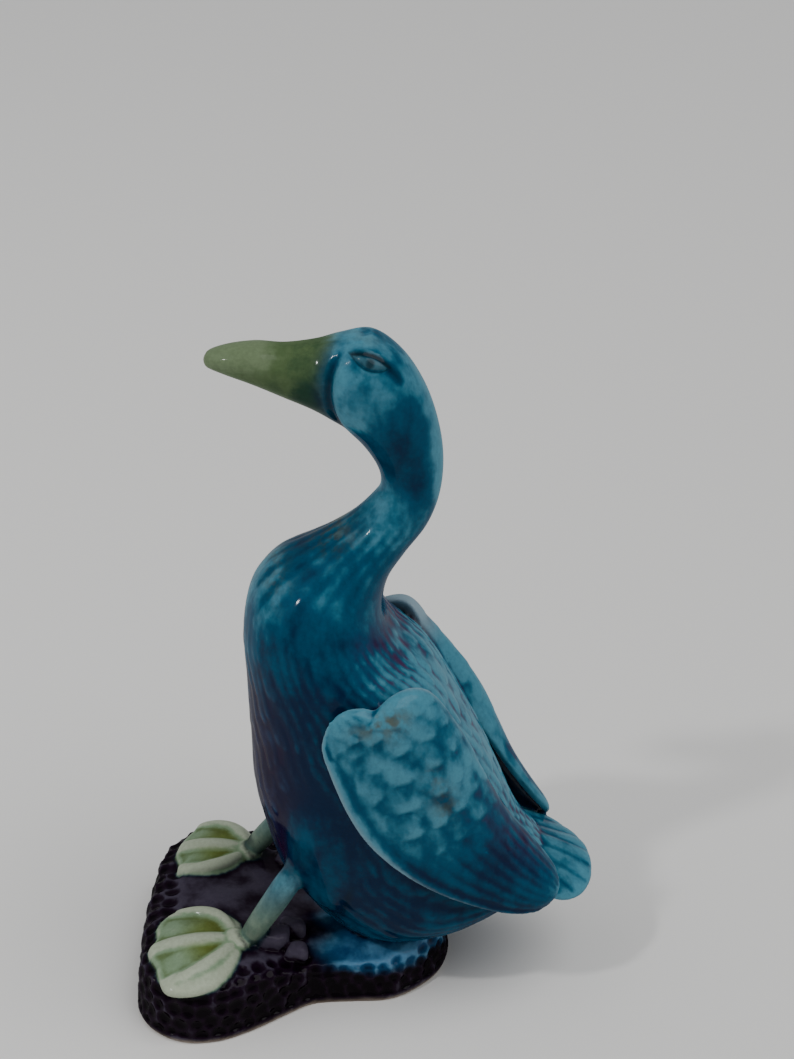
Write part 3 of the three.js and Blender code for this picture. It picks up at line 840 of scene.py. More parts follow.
# %% Rock pits
PIT_PITCH = 2.9
PIT_RADIUS = 1.6
PIT_DEEP = 0.7
PIT_WANDER = 0.22
PIT_WANDER_DOWN = 0.012
PIT_SIZES = (0.8, 1.15)
TOP_PITS_LARGER = 1.15
ROCK_SIDE_TO = 0.715
# (along, what share of the way out) of each ring of pits, from the top's rim down the side
PIT_RINGS = [(0.4, 0.88), (0.46, 0.92), (0.515, 0.96), (0.58, 0.98), (0.645, 0.99), (0.705, 1.0)]
TOP_PITS_TO = -16


def pit_places(seed=7):
    """The pits of all rings, with a little wander: place and size of each."""
    wander = np.random.default_rng(seed)
    places = []
    for ring, (along, reach) in enumerate(PIT_RINGS):
        count = int(BASE_AROUND_LONG * reach / PIT_PITCH)
        shift = wander.uniform(-PIT_WANDER, PIT_WANDER, count)
        turns = (np.arange(count) + 0.5 * (ring % 2) + shift) / count
        alongs = along + wander.uniform(-PIT_WANDER_DOWN, PIT_WANDER_DOWN, count)
        sizes = wander.uniform(*PIT_SIZES, count)
        found = rock_place(np.mod(turns, 1), alongs)
        keep = (ring > 1) | (found[:, 1] < TOP_PITS_TO)
        places.append(np.c_[found, sizes * (TOP_PITS_LARGER if ring < 3 else 1.0)][keep])
    return np.vstack(places)


pits = pit_places()


def nearest_pit(points, chunk=4000):
    """The distance from each point to the nearest pit, in pit radii."""
    out = np.empty(len(points))
    for start in range(0, len(points), chunk):
        some = points[start : start + chunk]
        away = np.linalg.norm(some[:, None] - pits[None, :, :3], axis=2) / (PIT_RADIUS * pits[:, 3])
        out[start : start + chunk] = away.min(1)
    return out


def rock_carve(turn, along, points):
    x, y = points[:, 0], points[:, 1]
    away = nearest_pit(points)
    pit = np.clip(1 - away**2, 0, 1)
    outer = (along < ROCK_SIDE_TO) * 1.0
    kneaded = 0.12 * np.sin(0.45 * x + 1.3 * np.sin(0.35 * y))
    kneaded = (kneaded + 0.1 * np.sin(0.6 * y + 1.4 * np.sin(0.4 * x + 1))) * (along < 0.5)
    return -PIT_DEEP * pit * outer + kneaded


def rock_paint(turn, along, points):
    x, y, z = points.T
    under = ramp(along, 0.735, 0.745)
    lip = 0.5 * (1 - ramp(z, 0.4, 0.9)) * (1 - ramp(along, 0.75, 0.8))
    drip = np.sin(0.9 * x + 1.3) + 0.6 * np.sin(0.47 * y)
    run = ramp(y, -15 + drip, -9 + drip) * ramp(z, 4.5 + 0.8 * drip, 7.5) * (1 - under)
    # The front of the top is paler, partly its grey-violet glaze and partly a painted sheen, and the sides
    # are darker, painted shade.
    top = (1 - ramp(along, 0.36, 0.46)) * (1 - ramp(y, -14, -8))
    marks = {"rock": 1 - run, "run": run, "biscuit": np.maximum(under, lip)}
    return marks | {"pale": 0.9 * top + 0.3 * run, "deep": 0.6 * (1 - top) * (1 - run)}


roll("rock", 560, 170, rock_place, rock_paint, rock_carve)
print("rock form:", len(forms[-1]["points"]), "vertices,", len(pits), "pits")

# %% [markdown]
# ## Toes and heels
#
# Each toe is a thin roll of clay laid on the foot from the heel out, and the heel is a flattened
# ball. They could be swept along curves, but each only has to bow a little on its way.

# %% Toes
FOOT_DOME = 0.7
TOE_SIZE = (1.3, 1.2)
TOE_STARTS = (0.1, 0.02, 0.06)
TOE_MIDDLE_HIGH = 0.55
TOE_DOME_SHARE = 0.6
HEEL_BACK = 0.6
HEEL_UP = 0.5
HEEL_SIZE = (2.7, 2.8, 1.6)
TOE_PAINT = {"foot": 1.0, "pale": 0.8}


def toe_line(heel, tip, share):
    """Places along a toe, and the direction across it."""
    across = np.array([heel[1] - tip[1], tip[0] - heel[0]])
    across /= np.linalg.norm(across)
    bow = tip[2] * np.sin(math.pi * share)
    x = lerp(heel[0], tip[0], share) + bow * across[0]
    y = lerp(heel[1], tip[1], share) + bow * across[1]
    return x, y, across


def ball(turn, along):
    flat, around = np.sin(math.pi * along), 2 * math.pi * turn
    return np.stack([flat * np.cos(around), flat * np.sin(around), np.cos(math.pi * along)], 1)


def toe_place(heel, tip, start, turn, along):
    share = lerp(start, 1, along)
    x, y, across = toe_line(heel, tip, share)
    fullness = np.abs(np.sin(math.pi * along))
    full = fullness**0.3
    height = rock(x, y) + TOE_MIDDLE_HIGH + FOOT_DOME * TOE_DOME_SHARE * fullness
    around = 2 * math.pi * turn
    out = TOE_SIZE[0] * full * np.cos(around)
    height = height + TOE_SIZE[1] * full * np.sin(around)
    return np.stack([x + across[0] * out, y + across[1] * out, height], 1)


def heel_place(heel, turn, along):
    middle = np.array([heel[0], heel[1] - HEEL_BACK, float(rock(heel[0], heel[1])) + HEEL_UP])
    return middle + ball(turn, along) * HEEL_SIZE


print("each toe is", 2 * TOE_SIZE[0], "mm wide")

# %% [markdown]
# ## Feet
#
# A webbed foot is a pad that follows the rock, with the web dished between its three toes. It
# could be cut out of the rock, but then it would have no edge of its own. So it is a slab as
# the tail is, from its middle out to its free outline.

# %% Feet
FOOT_THICK = 3.0
FOOT_SUNK = 0.4
WEB_HOLLOW = 0.6
WEB_STARTS = (0.9, 2.4)
WEB_POOL_ENDS = (6.5, 12.0)
LEFT_FOOT = [
    [11.6, -26.9], [6.6, -28], [3.6, -32], [2.9, -36.6], [4.4, -40.4], [8.2, -42.3],
    [11.6, -41.9], [15.4, -43], [19.2, -41.2], [25.4, -38.8], [26, -34.8], [24, -30.6],
    [19, -27.6],
]
RIGHT_FOOT = [
    [-15, -27.2], [-20.6, -27.8], [-24.6, -31], [-25.7, -34.2], [-24.6, -37.6], [-21.6, -39],
    [-18, -40.6], [-13.8, -41.4], [-10.4, -40.4], [-8.4, -40.6], [-7.4, -37], [-8.1, -33.4],
    [-10.8, -29.4],
]
# The heel, then each toe's tip and how far the toe bows out on its way there.
LEFT_TOES = [[12.2, -27.5], [4.4, -39.6, -2.8], [15.4, -42.4, 0], [24.6, -38.6, 1.6]]
RIGHT_TOES = [[-15.0, -27.6], [-8.6, -39.6, 2.0], [-15.6, -40.8, 0], [-23.8, -37.2, -2.0]]


def web_share(points, toes):
    """1 in the dished webs between two toes, and 0 on the toes and outside them."""
    shares = np.linspace(0, 1, 24)
    lines = [np.stack(toe_line(toes[0], tip, shares)[:2], 1) for tip in toes[1:]]
    samples = np.vstack(lines)
    away = np.linalg.norm(points[:, None, :2] - samples[None], axis=2)
    nearest = away.argmin(1)
    to_middle = np.linalg.norm(points[:, None, :2] - lines[1][None], axis=2).min(1)
    toe_to_middle = np.linalg.norm(samples[:, None] - lines[1][None], axis=2).min(1)[nearest]
    between = (to_middle < toe_to_middle) | (nearest // len(shares) == 1)
    return ramp(away.min(1), *WEB_STARTS) * between


def make_foot(name, outline, toes):
    edge = curve([[*p, 0] for p in outline], closed=True)
    to_t, _ = even(edge)
    middle = np.array([*np.mean(outline, axis=0), 0])

    def sheet(turn, reach):
        point = lerp(middle, edge(to_t(np.mod(turn, 1))), np.asarray(reach)[:, None])
        point[:, 2] = rock(point[:, 0], point[:, 1]) + FOOT_DOME * (1 - reach**2) - FOOT_SUNK
        return point

    def lift(point, reach):
        return -WEB_HOLLOW * web_share(point, toes) * (1 - ramp(reach, 0.8, 1.0))

    def paint(turn, along, points):
        web = web_share(points, toes) * (along < 0.5)
        from_heel = np.linalg.norm(points[:, :2] - toes[0], axis=1)
        pooled = web * (1 - ramp(from_heel, *WEB_POOL_ENDS))
        return {"foot": 1.0, "web": pooled, "pale": 0.7 * (1 - web), "deep": 0.4 * web}

    roll(name, 150, 90, partial(slab_place, sheet, (0, 0, 1), FOOT_THICK, lift), paint)
    roll(name + "_heel", 50, 40, partial(heel_place, toes[0]), TOE_PAINT)
    for number, (tip, start) in enumerate(zip(toes[1:], TOE_STARTS), 1):
        roll(f"{name}_toe_{number}", 36, 60, partial(toe_place, toes[0], tip, start), TOE_PAINT)


make_foot("left_foot", LEFT_FOOT, LEFT_TOES)
make_foot("right_foot", RIGHT_FOOT, RIGHT_TOES)
print("foot forms made:", [f["name"] for f in forms if "foot" in f["name"]])

# %% [markdown]
# ## Legs
#
# The shanks are rolls of clay that widen into the belly. A curve with a bevel could draw them,
# but rings around a path of stations close at both ends and carry paint marks as the rest does.

# %% Legs
# [x, y, z, radius] up each leg
LEGS = {
    "left_leg": [
        [11.8, -26.6, 10.2, 1.9],
        [11.7, -25.2, 12.6, 2.1],
        [11.6, -21.2, 19, 2.2],
        [11.4, -17.8, 24.2, 2.6],
        [11, -12, 30, 5.5],
    ],
    "right_leg": [
        [-15.2, -27.8, 10.2, 1.9],
        [-15, -26.6, 12.6, 2.1],
        [-13.6, -21.6, 19.2, 2.2],
        [-12.2, -17.8, 24.2, 2.6],
        [-11, -12, 30, 5.5],
    ],
}
LEG_GLAZE_ENDS = (15.0, 24.5)
LEG_LINE_Z = 11.6


def leg_place(stations, turn, along):
    path = curve([s[:3] for s in stations])
    radii = curve([[s[3], k, 0] for k, s in enumerate(stations)])
    t = np.clip(along, 0.0001, 0.9999)
    point = path(t)
    tangent = one_long(path(np.clip(t + 0.001, 0, 1)) - path(np.clip(t - 0.001, 0, 1)))
    out = one_long(np.array([1.0, 0, 0]) - tangent * tangent[:, :1])
    other = np.cross(tangent, out)
    radius = radii(t)[:, 0] * np.clip(np.sin(math.pi * along), 0, 1) ** 0.35
    around = 2 * math.pi * turn
    return point + (radius * np.cos(around))[:, None] * out + (radius * np.sin(around))[:, None] * other


def leg_paint(turn, along, points):
    z = points[:, 2]
    return {"leg": 1 - 0.85 * ramp(z, *LEG_GLAZE_ENDS), "dark": 0.7 * ridge(z - LEG_LINE_Z, 0.5)}


for name, stations in LEGS.items():
    roll(name, 60, 100, partial(leg_place, stations), leg_paint)
print("leg forms:", list(LEGS))

# %% [markdown]
# ## Thighs and small stones
#
# The thighs are flat paddles of feathers pressed on to the belly's sides, and a few pellets of
# clay sit behind the legs as stones. They could be sculpted, but little of them shows, so all
# of them are balls, stretched, turned and put in place.

# %% Thighs and stones
THIGH_MIDDLE = np.array([14.3, -12.4, 30.0])
THIGH_SIZE = np.array([2.9, 6.4, 12.6])
THIGH_TURN = -0.45
THIGH_LEAN = 0.2
THIGH_TILT = 0.12
THIGH_FLUTES = 0.07
STONE_SHAPE = (0.9, 1.1, 0.85)
STONE_UP = 0.3
STONE_KNOBBLY = 0.2
STONE_PAINT = {"rock": 1.0, "pale": 1.0}
STONES = [[11.2, -21.4, 2.4], [12.8, -17.4, 1.8], [7.8, -18.6, 2.1], [-14.2, -20.0, 2.4]]


def turned(points, axis, angle):
    """Points turned around axis 0, 1 or 2."""
    a, b = ((1, 2), (2, 0), (0, 1))[axis]
    out = points.copy()
    out[:, a] = points[:, a] * math.cos(angle) - points[:, b] * math.sin(angle)
    out[:, b] = points[:, a] * math.sin(angle) + points[:, b] * math.cos(angle)
    return out


def thigh_place(side, turn, along):
    unit = ball(turn, along)
    points = unit * THIGH_SIZE
    points[:, 0] *= 1 + THIGH_FLUTES * np.cos(unit[:, 1] * 11 + 1.5 * unit[:, 2])
    points = turned(turned(turned(points, 2, THIGH_TURN), 1, THIGH_LEAN), 0, THIGH_TILT)
    return points * [side, 1, 1] + THIGH_MIDDLE * [side, 1, 1]


def stone_place(x, y, radius, turn, along):
    middle = np.array([x, y, float(rock(x, y)) + STONE_UP * radius])
    unit = ball(turn, along)
    knobbly = 1 + STONE_KNOBBLY * np.sin(2.4 * unit[:, 0] + 1.7 * x) * np.sin(2.1 * unit[:, 1] + y)
    squared = np.sign(unit) * np.abs(unit) ** 0.7
    return middle + squared * (radius * np.array(STONE_SHAPE)) * knobbly[:, None]


def thigh_paint(turn, along, points):
    return {"deep": 0.9 + 0.1 * ramp(points[:, 2], 34, 22)}


for side in (1, -1):
    roll(f"thigh_{side}", 90, 90, partial(thigh_place, side), thigh_paint)
for number, stone in enumerate(STONES):
    roll(f"stone_{number}", 40, 30, partial(stone_place, *stone), STONE_PAINT)
print("forms so far:", len(forms))

# %% [markdown]
# ## Fusing the clay
#
# Slip and glaze turn all the joined forms into one skin. A boolean union would leave sharp
# creases, so the forms are put into one mesh and remeshed in small cubes, smoothed a little
# as a fluid glaze smooths, and thinned out again where the skin is plain.

# %% Fuse
VOXEL = 0.3
MOST_TRIANGLES = 194000


def joined_mesh(name):
    bm = bmesh.new()
    for form in forms:
        bm.from_mesh(form["mesh"])
    bmesh.ops.translate(bm, verts=bm.verts, vec=(0, -MIDDLE_Y, 0))
    bmesh.ops.scale(bm, verts=bm.verts, vec=(MM, MM, MM))
    return to_mesh(bm, bpy.data.meshes.new(name))


def work_in(piece, modifiers):
    """Gives the piece these modifiers, and then the mesh that they make."""
    for kind, settings in modifiers.items():
        set_all(piece.modifiers.new(kind, kind), settings)
    made = bpy.data.meshes.new_from_object(piece.evaluated_get(bpy.context.evaluated_depsgraph_get()))
    piece.modifiers.clear()
    piece.data = made


def triangles(mesh):
    return sum(len(p.vertices) - 2 for p in mesh.polygons)


def drop_pockets(mesh):
    """Keeps the largest skin alone. A pocket shut in between two forms has a skin of its own."""
    bm = bmesh.new()
    bm.from_mesh(mesh)
    left, skins = dict.fromkeys(bm.verts), []
    while left:
        skin = [left.popitem()[0]]
        for vertex in skin:
            for edge in vertex.link_edges:
                other = edge.other_vert(vertex)
                if other in left:
                    del left[other]
                    skin.append(other)
        skins.append(skin)
    skins.sort(key=len)
    bmesh.ops.delete(bm, geom=[v for skin in skins[:-1] for v in skin], context="VERTS")
    to_mesh(bm, mesh)
    return len(skins) - 1


duck = add_object("duck_glazed", joined_mesh("duck_glazed"))
fusing = {"REMESH": {"mode": "VOXEL", "voxel_size": VOXEL * MM}}
flowing = {"SMOOTH": {"factor": 0.5, "iterations": 2}}
work_in(duck, fusing | flowing)
fused_count = triangles(duck.data)
work_in(duck, {"DECIMATE": {"ratio": min(1.0, MOST_TRIANGLES / fused_count)}})
pockets = drop_pockets(duck.data)
print("fused:", fused_count, "triangles, kept:", triangles(duck.data), "without pockets:", pockets)

# %% [markdown]
# ## Blending the thighs in
#
# The thighs are hardly to be seen above: only their lower edge stands off the belly. A thumb
# smooths such a join in clay, and here each vertex near it moves to the mean of those around.

# %% Blend the thighs
BLEND_TIMES = 70
BLEND_AT = 1.05
BLEND_WIDE = 0.3
BLEND_LOW = (-9.5, -5.5)


def neighbours(mesh):
    pairs = np.empty(len(mesh.edges) * 2, int)
    mesh.edges.foreach_get("vertices", pairs)
    return pairs.reshape(-1, 2)


def spread(values, pairs, times):
    """Values averaged with their neighbours, so many times."""
    values = np.array(values, float)
    count = np.bincount(pairs.ravel(), minlength=len(values))
    for _ in range(times):
        total = np.stack(
            [
                np.bincount(pairs[:, 0], values[pairs[:, 1], k], len(values))
                + np.bincount(pairs[:, 1], values[pairs[:, 0], k], len(values))
                for k in range(values.shape[1])
            ],
            1,
        )
        values = 0.5 * values + 0.5 * total / np.maximum(count, 1)[:, None]
    return values


def thigh_reach(points, side):
    """How far out from a thigh's middle a point is, with 1 on its skin, and how low it is."""
    local = (points - THIGH_MIDDLE * [side, 1, 1]) * [side, 1, 1]
    local = turned(turned(turned(local, 0, -THIGH_TILT), 1, -THIGH_LEAN), 2, -THIGH_TURN)
    return np.linalg.norm(local / THIGH_SIZE, axis=1), local[:, 2]


pairs = neighbours(duck.data)
skin = read_points(duck.data) / MM + [0, MIDDLE_Y, 0]
smooth_skin = spread(skin, pairs, BLEND_TIMES)
for side in (1, -1):
    reach, low = thigh_reach(skin, side)
    share = ridge(reach - BLEND_AT, BLEND_WIDE) * ramp(low, *BLEND_LOW)
    skin = lerp(skin, smooth_skin, share[:, None])
    print("vertices blended by a thigh:", int((share > 0.1).sum()))
duck.data.vertices.foreach_set("co", ((skin - [0, MIDDLE_Y, 0]) * MM).ravel())

# %% [markdown]
# ## Keeping to the size of the solid
#
# The figure stands on its foot rim, so nothing may reach below the table, and the carving must
# not make it larger than the solid. Scaling it down would shift all of the carving, so the last
# step on the shape only clips what stands out of that box.

# %% Clip
points_now = np.clip(read_points(duck.data), cad_box[0], cad_box[1])
duck.data.vertices.foreach_set("co", points_now.ravel())
duck.data.update()
duck.data.shade_smooth()
print("duck vertices:", len(points_now), "box", points_now.min(0), points_now.max(0))

# %% [markdown]
# ## Paint marks on the fused skin
#
# The remesh has new vertices, so each takes the marks of the nearest old one. Then the marks
# are spread a little over the skin, because glazes creep into each other in the kiln. A dark
# ring where each leg meets its foot is added last, and so is each thigh's lower edge: a pale
# band on it and a painted shadow just below it.

# %% Marks
HEEL_RING = 2.3
HEEL_RING_WIDE = 0.3
HEEL_RING_DARK = 0.85
# how dark the painted shadow under each thigh's lower edge is
THIGH_SHADOW_DARK = 0.6
THIGH_EDGE_PALE = 0.8
EVERY = 2


def nearest_marks(points):
    old = np.vstack([f["points"] for f in forms]) + [0, -MIDDLE_Y, 0]
    marks = np.vstack([f["marks"] for f in forms])
    picked = np.arange(0, len(old), EVERY)
    tree = kdtree.KDTree(len(picked))
    for place, index in enumerate(picked):
        tree.insert(old[index], place)
    tree.balance()
    found = np.array([tree.find(p)[1] for p in points])
    return marks[picked[found]]


def add_mark(name, amount):
    column = MARKS.index(name)
    marks[:, column] = np.maximum(marks[:, column], amount)


marks = spread(nearest_marks(points_now / MM), pairs, 2)
skin = points_now / MM + [0, MIDDLE_Y, 0]
for stations in LEGS.values():
    ankle, knee = np.array(stations[0][:3]), np.array(stations[2][:3])
    shank = (knee - ankle) / np.linalg.norm(knee - ankle)
    up = (skin - ankle) @ shank
    from_shank = np.linalg.norm(skin - ankle - up[:, None] * shank, axis=1)
    near_foot = ramp(up, 0.2, 0.8) * ramp(up, 5.0, 4.0)
    add_mark("dark", HEEL_RING_DARK * ridge(from_shank - HEEL_RING, HEEL_RING_WIDE) * near_foot)
for side in (1, -1):
    reach, low = thigh_reach(skin, side)
    lower_edge = ramp(low, -2.5, -6.5) * (skin[:, 0] * side > 0)
    # painted shadow just below the thigh's lower edge, then a pale band inside it
    add_mark("dark", THIGH_SHADOW_DARK * ridge(reach - 1.07, 0.05) * lower_edge)
    add_mark("pale", THIGH_EDGE_PALE * ridge(reach - 0.88, 0.12) * lower_edge)
print("marked vertices:", {name: int((marks[:, k] > 0.5).sum()) for k, name in enumerate(MARKS)})

# %% [markdown]
# ## Relief for the glaze
#
# The glaze lies by the shape below it: thin on a ridge, thick in a groove. A node could look
# for grooves in each picture, but they are measured once here. Each vertex stands some way
# above or below the mean of the skin around it, close by and further off, and the two heights
# are stored beside the paint marks for the material to read.

# %% Relief
# [how many times the skin is evened, the height in mm that counts as full]
RELIEFS = {"relief_fine": (8, 0.12), "relief_broad": (60, 0.6)}


def store(name, values):
    attribute = duck.data.attributes.new(name, "FLOAT", "POINT")
    attribute.data.foreach_set("value", np.asarray(values, np.float32))


for k, name in enumerate(MARKS):
    store("mark_" + name, marks[:, k])
normals = np.empty(len(points_now) * 3)
duck.data.vertices.foreach_get("normal", normals)
normals = normals.reshape(-1, 3)
for name, (times, full) in RELIEFS.items():
    above = np.sum((points_now - spread(points_now, pairs, times)) * normals, axis=1) / MM
    store(name, np.clip(above / full, -1, 1))
    print(name, "in mm, lowest, middle and highest:", np.percentile(above, [2, 50, 98]).round(3))

# %% [markdown]
# ## Shader helpers
#
# The glaze is one material made of small steps, and each step is a node. Placing nodes by hand
# is fine for a few, but with this many it is easier to write sums: a wire stands for a node's
# output, and each plus, minus or times with it places one Math node.

# %% Shader helpers
SIGNS = {"add": "ADD", "sub": "SUBTRACT", "mul": "MULTIPLY", "truediv": "DIVIDE", "pow": "POWER"}


class Wire:
    """A node's output on its way to other nodes. Arithmetic with it places Math nodes."""

    def __init__(self, tree, socket):
        self.tree, self.socket = tree, socket

    def step(self, operation, first, second=0.0):
        return add_node(self.tree, "ShaderNodeMath", {0: first, 1: second}, operation=operation)[0]

    def __abs__(self):
        return self.step("ABSOLUTE", self)

    def clamped(self):
        """The same value, kept from 0 to 1 by its own Math node."""
        self.socket.node.use_clamp = True
        return self


for sign, operation in SIGNS.items():
    setattr(Wire, f"__{sign}__", lambda one, other, name=operation: one.step(name, one, other))
    setattr(Wire, f"__r{sign}__", lambda one, other, name=operation: one.step(name, other, one))


def plug(tree, node, sockets):
    """Gives each of a node's inputs a value, or a wire from another node."""
    for key, value in sockets.items():
        if isinstance(value, Wire):
            tree.links.new(value.socket, node.inputs[key])
        else:
            node.inputs[key].default_value = value


def wires(tree, node):
    """A node's outputs as wires, found by number or by name."""
    return {key: Wire(tree, out) for n, out in enumerate(node.outputs) for key in (n, out.name)}


def add_node(tree, kind, sockets=None, **settings):
    node = set_all(tree.nodes.new(kind), settings)
    plug(tree, node, sockets or {})
    return wires(tree, node)


def larger(one, other):
    return one.step("MAXIMUM", one, other)


def mixed(share, one, other, blend="MIX"):
    """Two colours mixed: share says how much of the other."""
    sockets = {0: share, 6: one, 7: other}
    return add_node(one.tree, "ShaderNodeMix", sockets, data_type="RGBA", blend_type=blend)[2]


def eased(value, low, high):
    """0 where value is below low, 1 above high."""
    sockets = {0: value, 1: low, 2: high, 3: 0.0, 4: 1.0}
    return add_node(value.tree, "ShaderNodeMapRange", sockets, interpolation_type="SMOOTHSTEP")[0]


def new_group(name, inputs, outputs, kind="Float"):
    """A node group with named sockets: its tree, wires from its inputs, and its output node."""
    tree = bpy.data.node_groups.new(name, "ShaderNodeTree")
    for label, value in inputs.items():
        socket_type = "NodeSocketColor" if isinstance(value, tuple) else "NodeSocketFloat"
        tree.interface.new_socket(label, in_out="INPUT", socket_type=socket_type).default_value = value
    for label in outputs:
        tree.interface.new_socket(label, in_out="OUTPUT", socket_type="NodeSocket" + kind)
    given = wires(tree, tree.nodes.new("NodeGroupInput"))
    print("node group", name, "takes", list(inputs), "and gives", list(outputs))
    return tree, given, tree.nodes.new("NodeGroupOutput")


# %% [markdown]
# ## What the kiln does
#
# A fired glaze is never even: it is cloudy where it was brushed on thicker, it runs in streaks
# down the body, and it has flecks where the metal in it didn't melt into the glass. A painted
# picture could show them, but noise has no seams, so each mark is one noise in a group.

# %% Kiln marks
# [noise scale to the metre, detail, roughness, noise where the mark starts, and where it is full]
KILN_NOISE = {
    "Clouds": [110.0, 3.0, 0.6, 0.3, 0.7],
    "Flecks": [1400.0, 2.0, 0.7, 0.3, 0.7],
    "Specks": [420.0, 4.0, 0.75, 0.66, 0.74],
    "Smudges": [450.0, 2.0, 0.6, 0.36, 0.62],
    "Streaks": [430.0, 2.0, 0.5, 0.3, 0.7],
    "Mottles": [260.0, 3.0, 0.6, 0.34, 0.66],
}
STREAK_LEAN = (math.radians(-24), 0, 0)
STREAK_STRETCH = (1, 1, 0.28)


def kiln_marks():
    scales = {name + " scale": row[0] for name, row in KILN_NOISE.items()}
    tree, given, end = new_group("kiln marks", scales, KILN_NOISE)
    place = add_node(tree, "ShaderNodeTexCoord")["Object"]
    drawn_out = {"Vector": place, "Rotation": STREAK_LEAN, "Scale": STREAK_STRETCH}
    down_the_body = add_node(tree, "ShaderNodeMapping", drawn_out)[0]
    for name, (_, detail, rough, low, high) in KILN_NOISE.items():
        sockets = {"Vector": down_the_body if name == "Streaks" else place}
        sockets |= {"Scale": given[name + " scale"], "Detail": detail, "Roughness": rough}
        grain = add_node(tree, "ShaderNodeTexNoise", sockets)["Fac"]
        plug(tree, end, {name: eased(grain, low, high)})
    return tree


KILN = kiln_marks()

# %% [markdown]
# ## How thick the glaze lies
#
# A clear coloured glaze is dark where it pools in a groove and pale where it runs thin over an
# edge. That thickness decides nearly every colour on the duck, so one group works it out from
# the relief kept on each vertex, and another turns a thickness into a colour.

# %% Glaze thickness
USUAL_DEPTH = 0.5
# (the value that changes nothing, how much glaze one more adds)
DEPTH_FROM = {
    "Fine relief": (0.0, -0.34),
    "Broad relief": (0.0, -0.16),
    "Clouds": (0.5, 0.24),
    "Streaks": (0.5, 0.11),
    "Mottles": (0.5, 0.13),
    # Deep and Pale carry glaze marks and also painted shade and painted light.
    "Deep": (0.0, 0.42),
    "Pale": (0.0, -0.3),
}
THIN_TO_MIDDLE = (0.05, 0.5)
MIDDLE_TO_THICK = (0.45, 0.95)


def glaze_depth():
    neutral = {name: value for name, (value, _) in DEPTH_FROM.items()}
    tree, given, end = new_group("glaze depth", neutral, ["Depth"])
    depth = USUAL_DEPTH
    for name, (value, weight) in DEPTH_FROM.items():
        depth = depth + (given[name] - value) * weight
    plug(tree, end, {"Depth": depth.clamped()})
    return tree


def glaze_colour():
    colours = {"Thin": (1, 1, 1, 1), "Middle": (0.5, 0.5, 0.5, 1), "Thick": (0, 0, 0, 1)}
    tree, given, end = new_group("glaze colour", {"Depth": USUAL_DEPTH} | colours, ["Colour"], "Color")
    thinner = mixed(eased(given["Depth"], *THIN_TO_MIDDLE), given["Thin"], given["Middle"])
    whole = mixed(eased(given["Depth"], *MIDDLE_TO_THICK), thinner, given["Thick"])
    plug(tree, end, {"Colour": whole})
    return tree


DEPTH = glaze_depth()
COLOUR = glaze_colour()

# %% [markdown]
# ## The eyes
#
# Each eye is drawn with a fine brush in dark glaze: a heavy upper lid, a thin lower one and a
# round pupil. The lines are finer than the mesh, so they are worked out from the place itself:
# the height over the slit, plus its length squared, is 1 all along an almond.

# %% Eye drawing
LID_WIDE_AND_MORE = (0.34, 0.36)
LID_DARK_AND_MORE = (0.6, 0.35)
PUPIL_EDGE = (0.3, 1.5)
PUPIL_DARK = 0.88
EYE_DARK = 0.5
EYE_PALE = 0.16


def eye_drawing():
    tree, _, end = new_group("eye drawing", {}, ["Line", "White"])
    place = add_node(tree, "ShaderNodeTexCoord")["Object"]
    parts = add_node(tree, "ShaderNodeSeparateXYZ", {"Vector": place})
    from_y = (parts["Y"] - (EYE[0] - MIDDLE_Y) * MM) * (1 / MM)
    from_z = (parts["Z"] - EYE[1] * MM) * (1 / MM)
    slit = from_y * math.cos(EYE_SLANT) + from_z * math.sin(EYE_SLANT)
    over = from_z * math.cos(EYE_SLANT) - from_y * math.sin(EYE_SLANT)
    reach = abs(over / EYE_HIGH) + (slit / EYE_LONG) ** 2
    upper = eased(over, -0.5, 0.3)
    width = upper * LID_WIDE_AND_MORE[1] + LID_WIDE_AND_MORE[0]
    dark = upper * LID_DARK_AND_MORE[1] + LID_DARK_AND_MORE[0]
    lid = (1 - eased(abs(reach - 1) / width, 0.0, 1.0)) * dark
    pupil = 1 - eased((slit**2 + over**2) ** 0.5, *PUPIL_EDGE)
    eyeball = 1 - eased(reach, 0.7, 1.0)
    line = larger(larger(lid, pupil * PUPIL_DARK), eyeball * EYE_DARK)
    plug(tree, end, {"Line": line, "White": (1 - eased(reach, 0.45, 0.95)) * EYE_PALE})
    return tree


EYES = eye_drawing()

# %% [markdown]
# ## The glazes
#
# The potter used a few glazes: turquoise all over, green on the bill, pale green on the feet,
# and nearly black aubergine on the rock. Separate materials would meet in hard lines, so one
# material mixes them by the paint marks, as glazes run into each other where they meet.

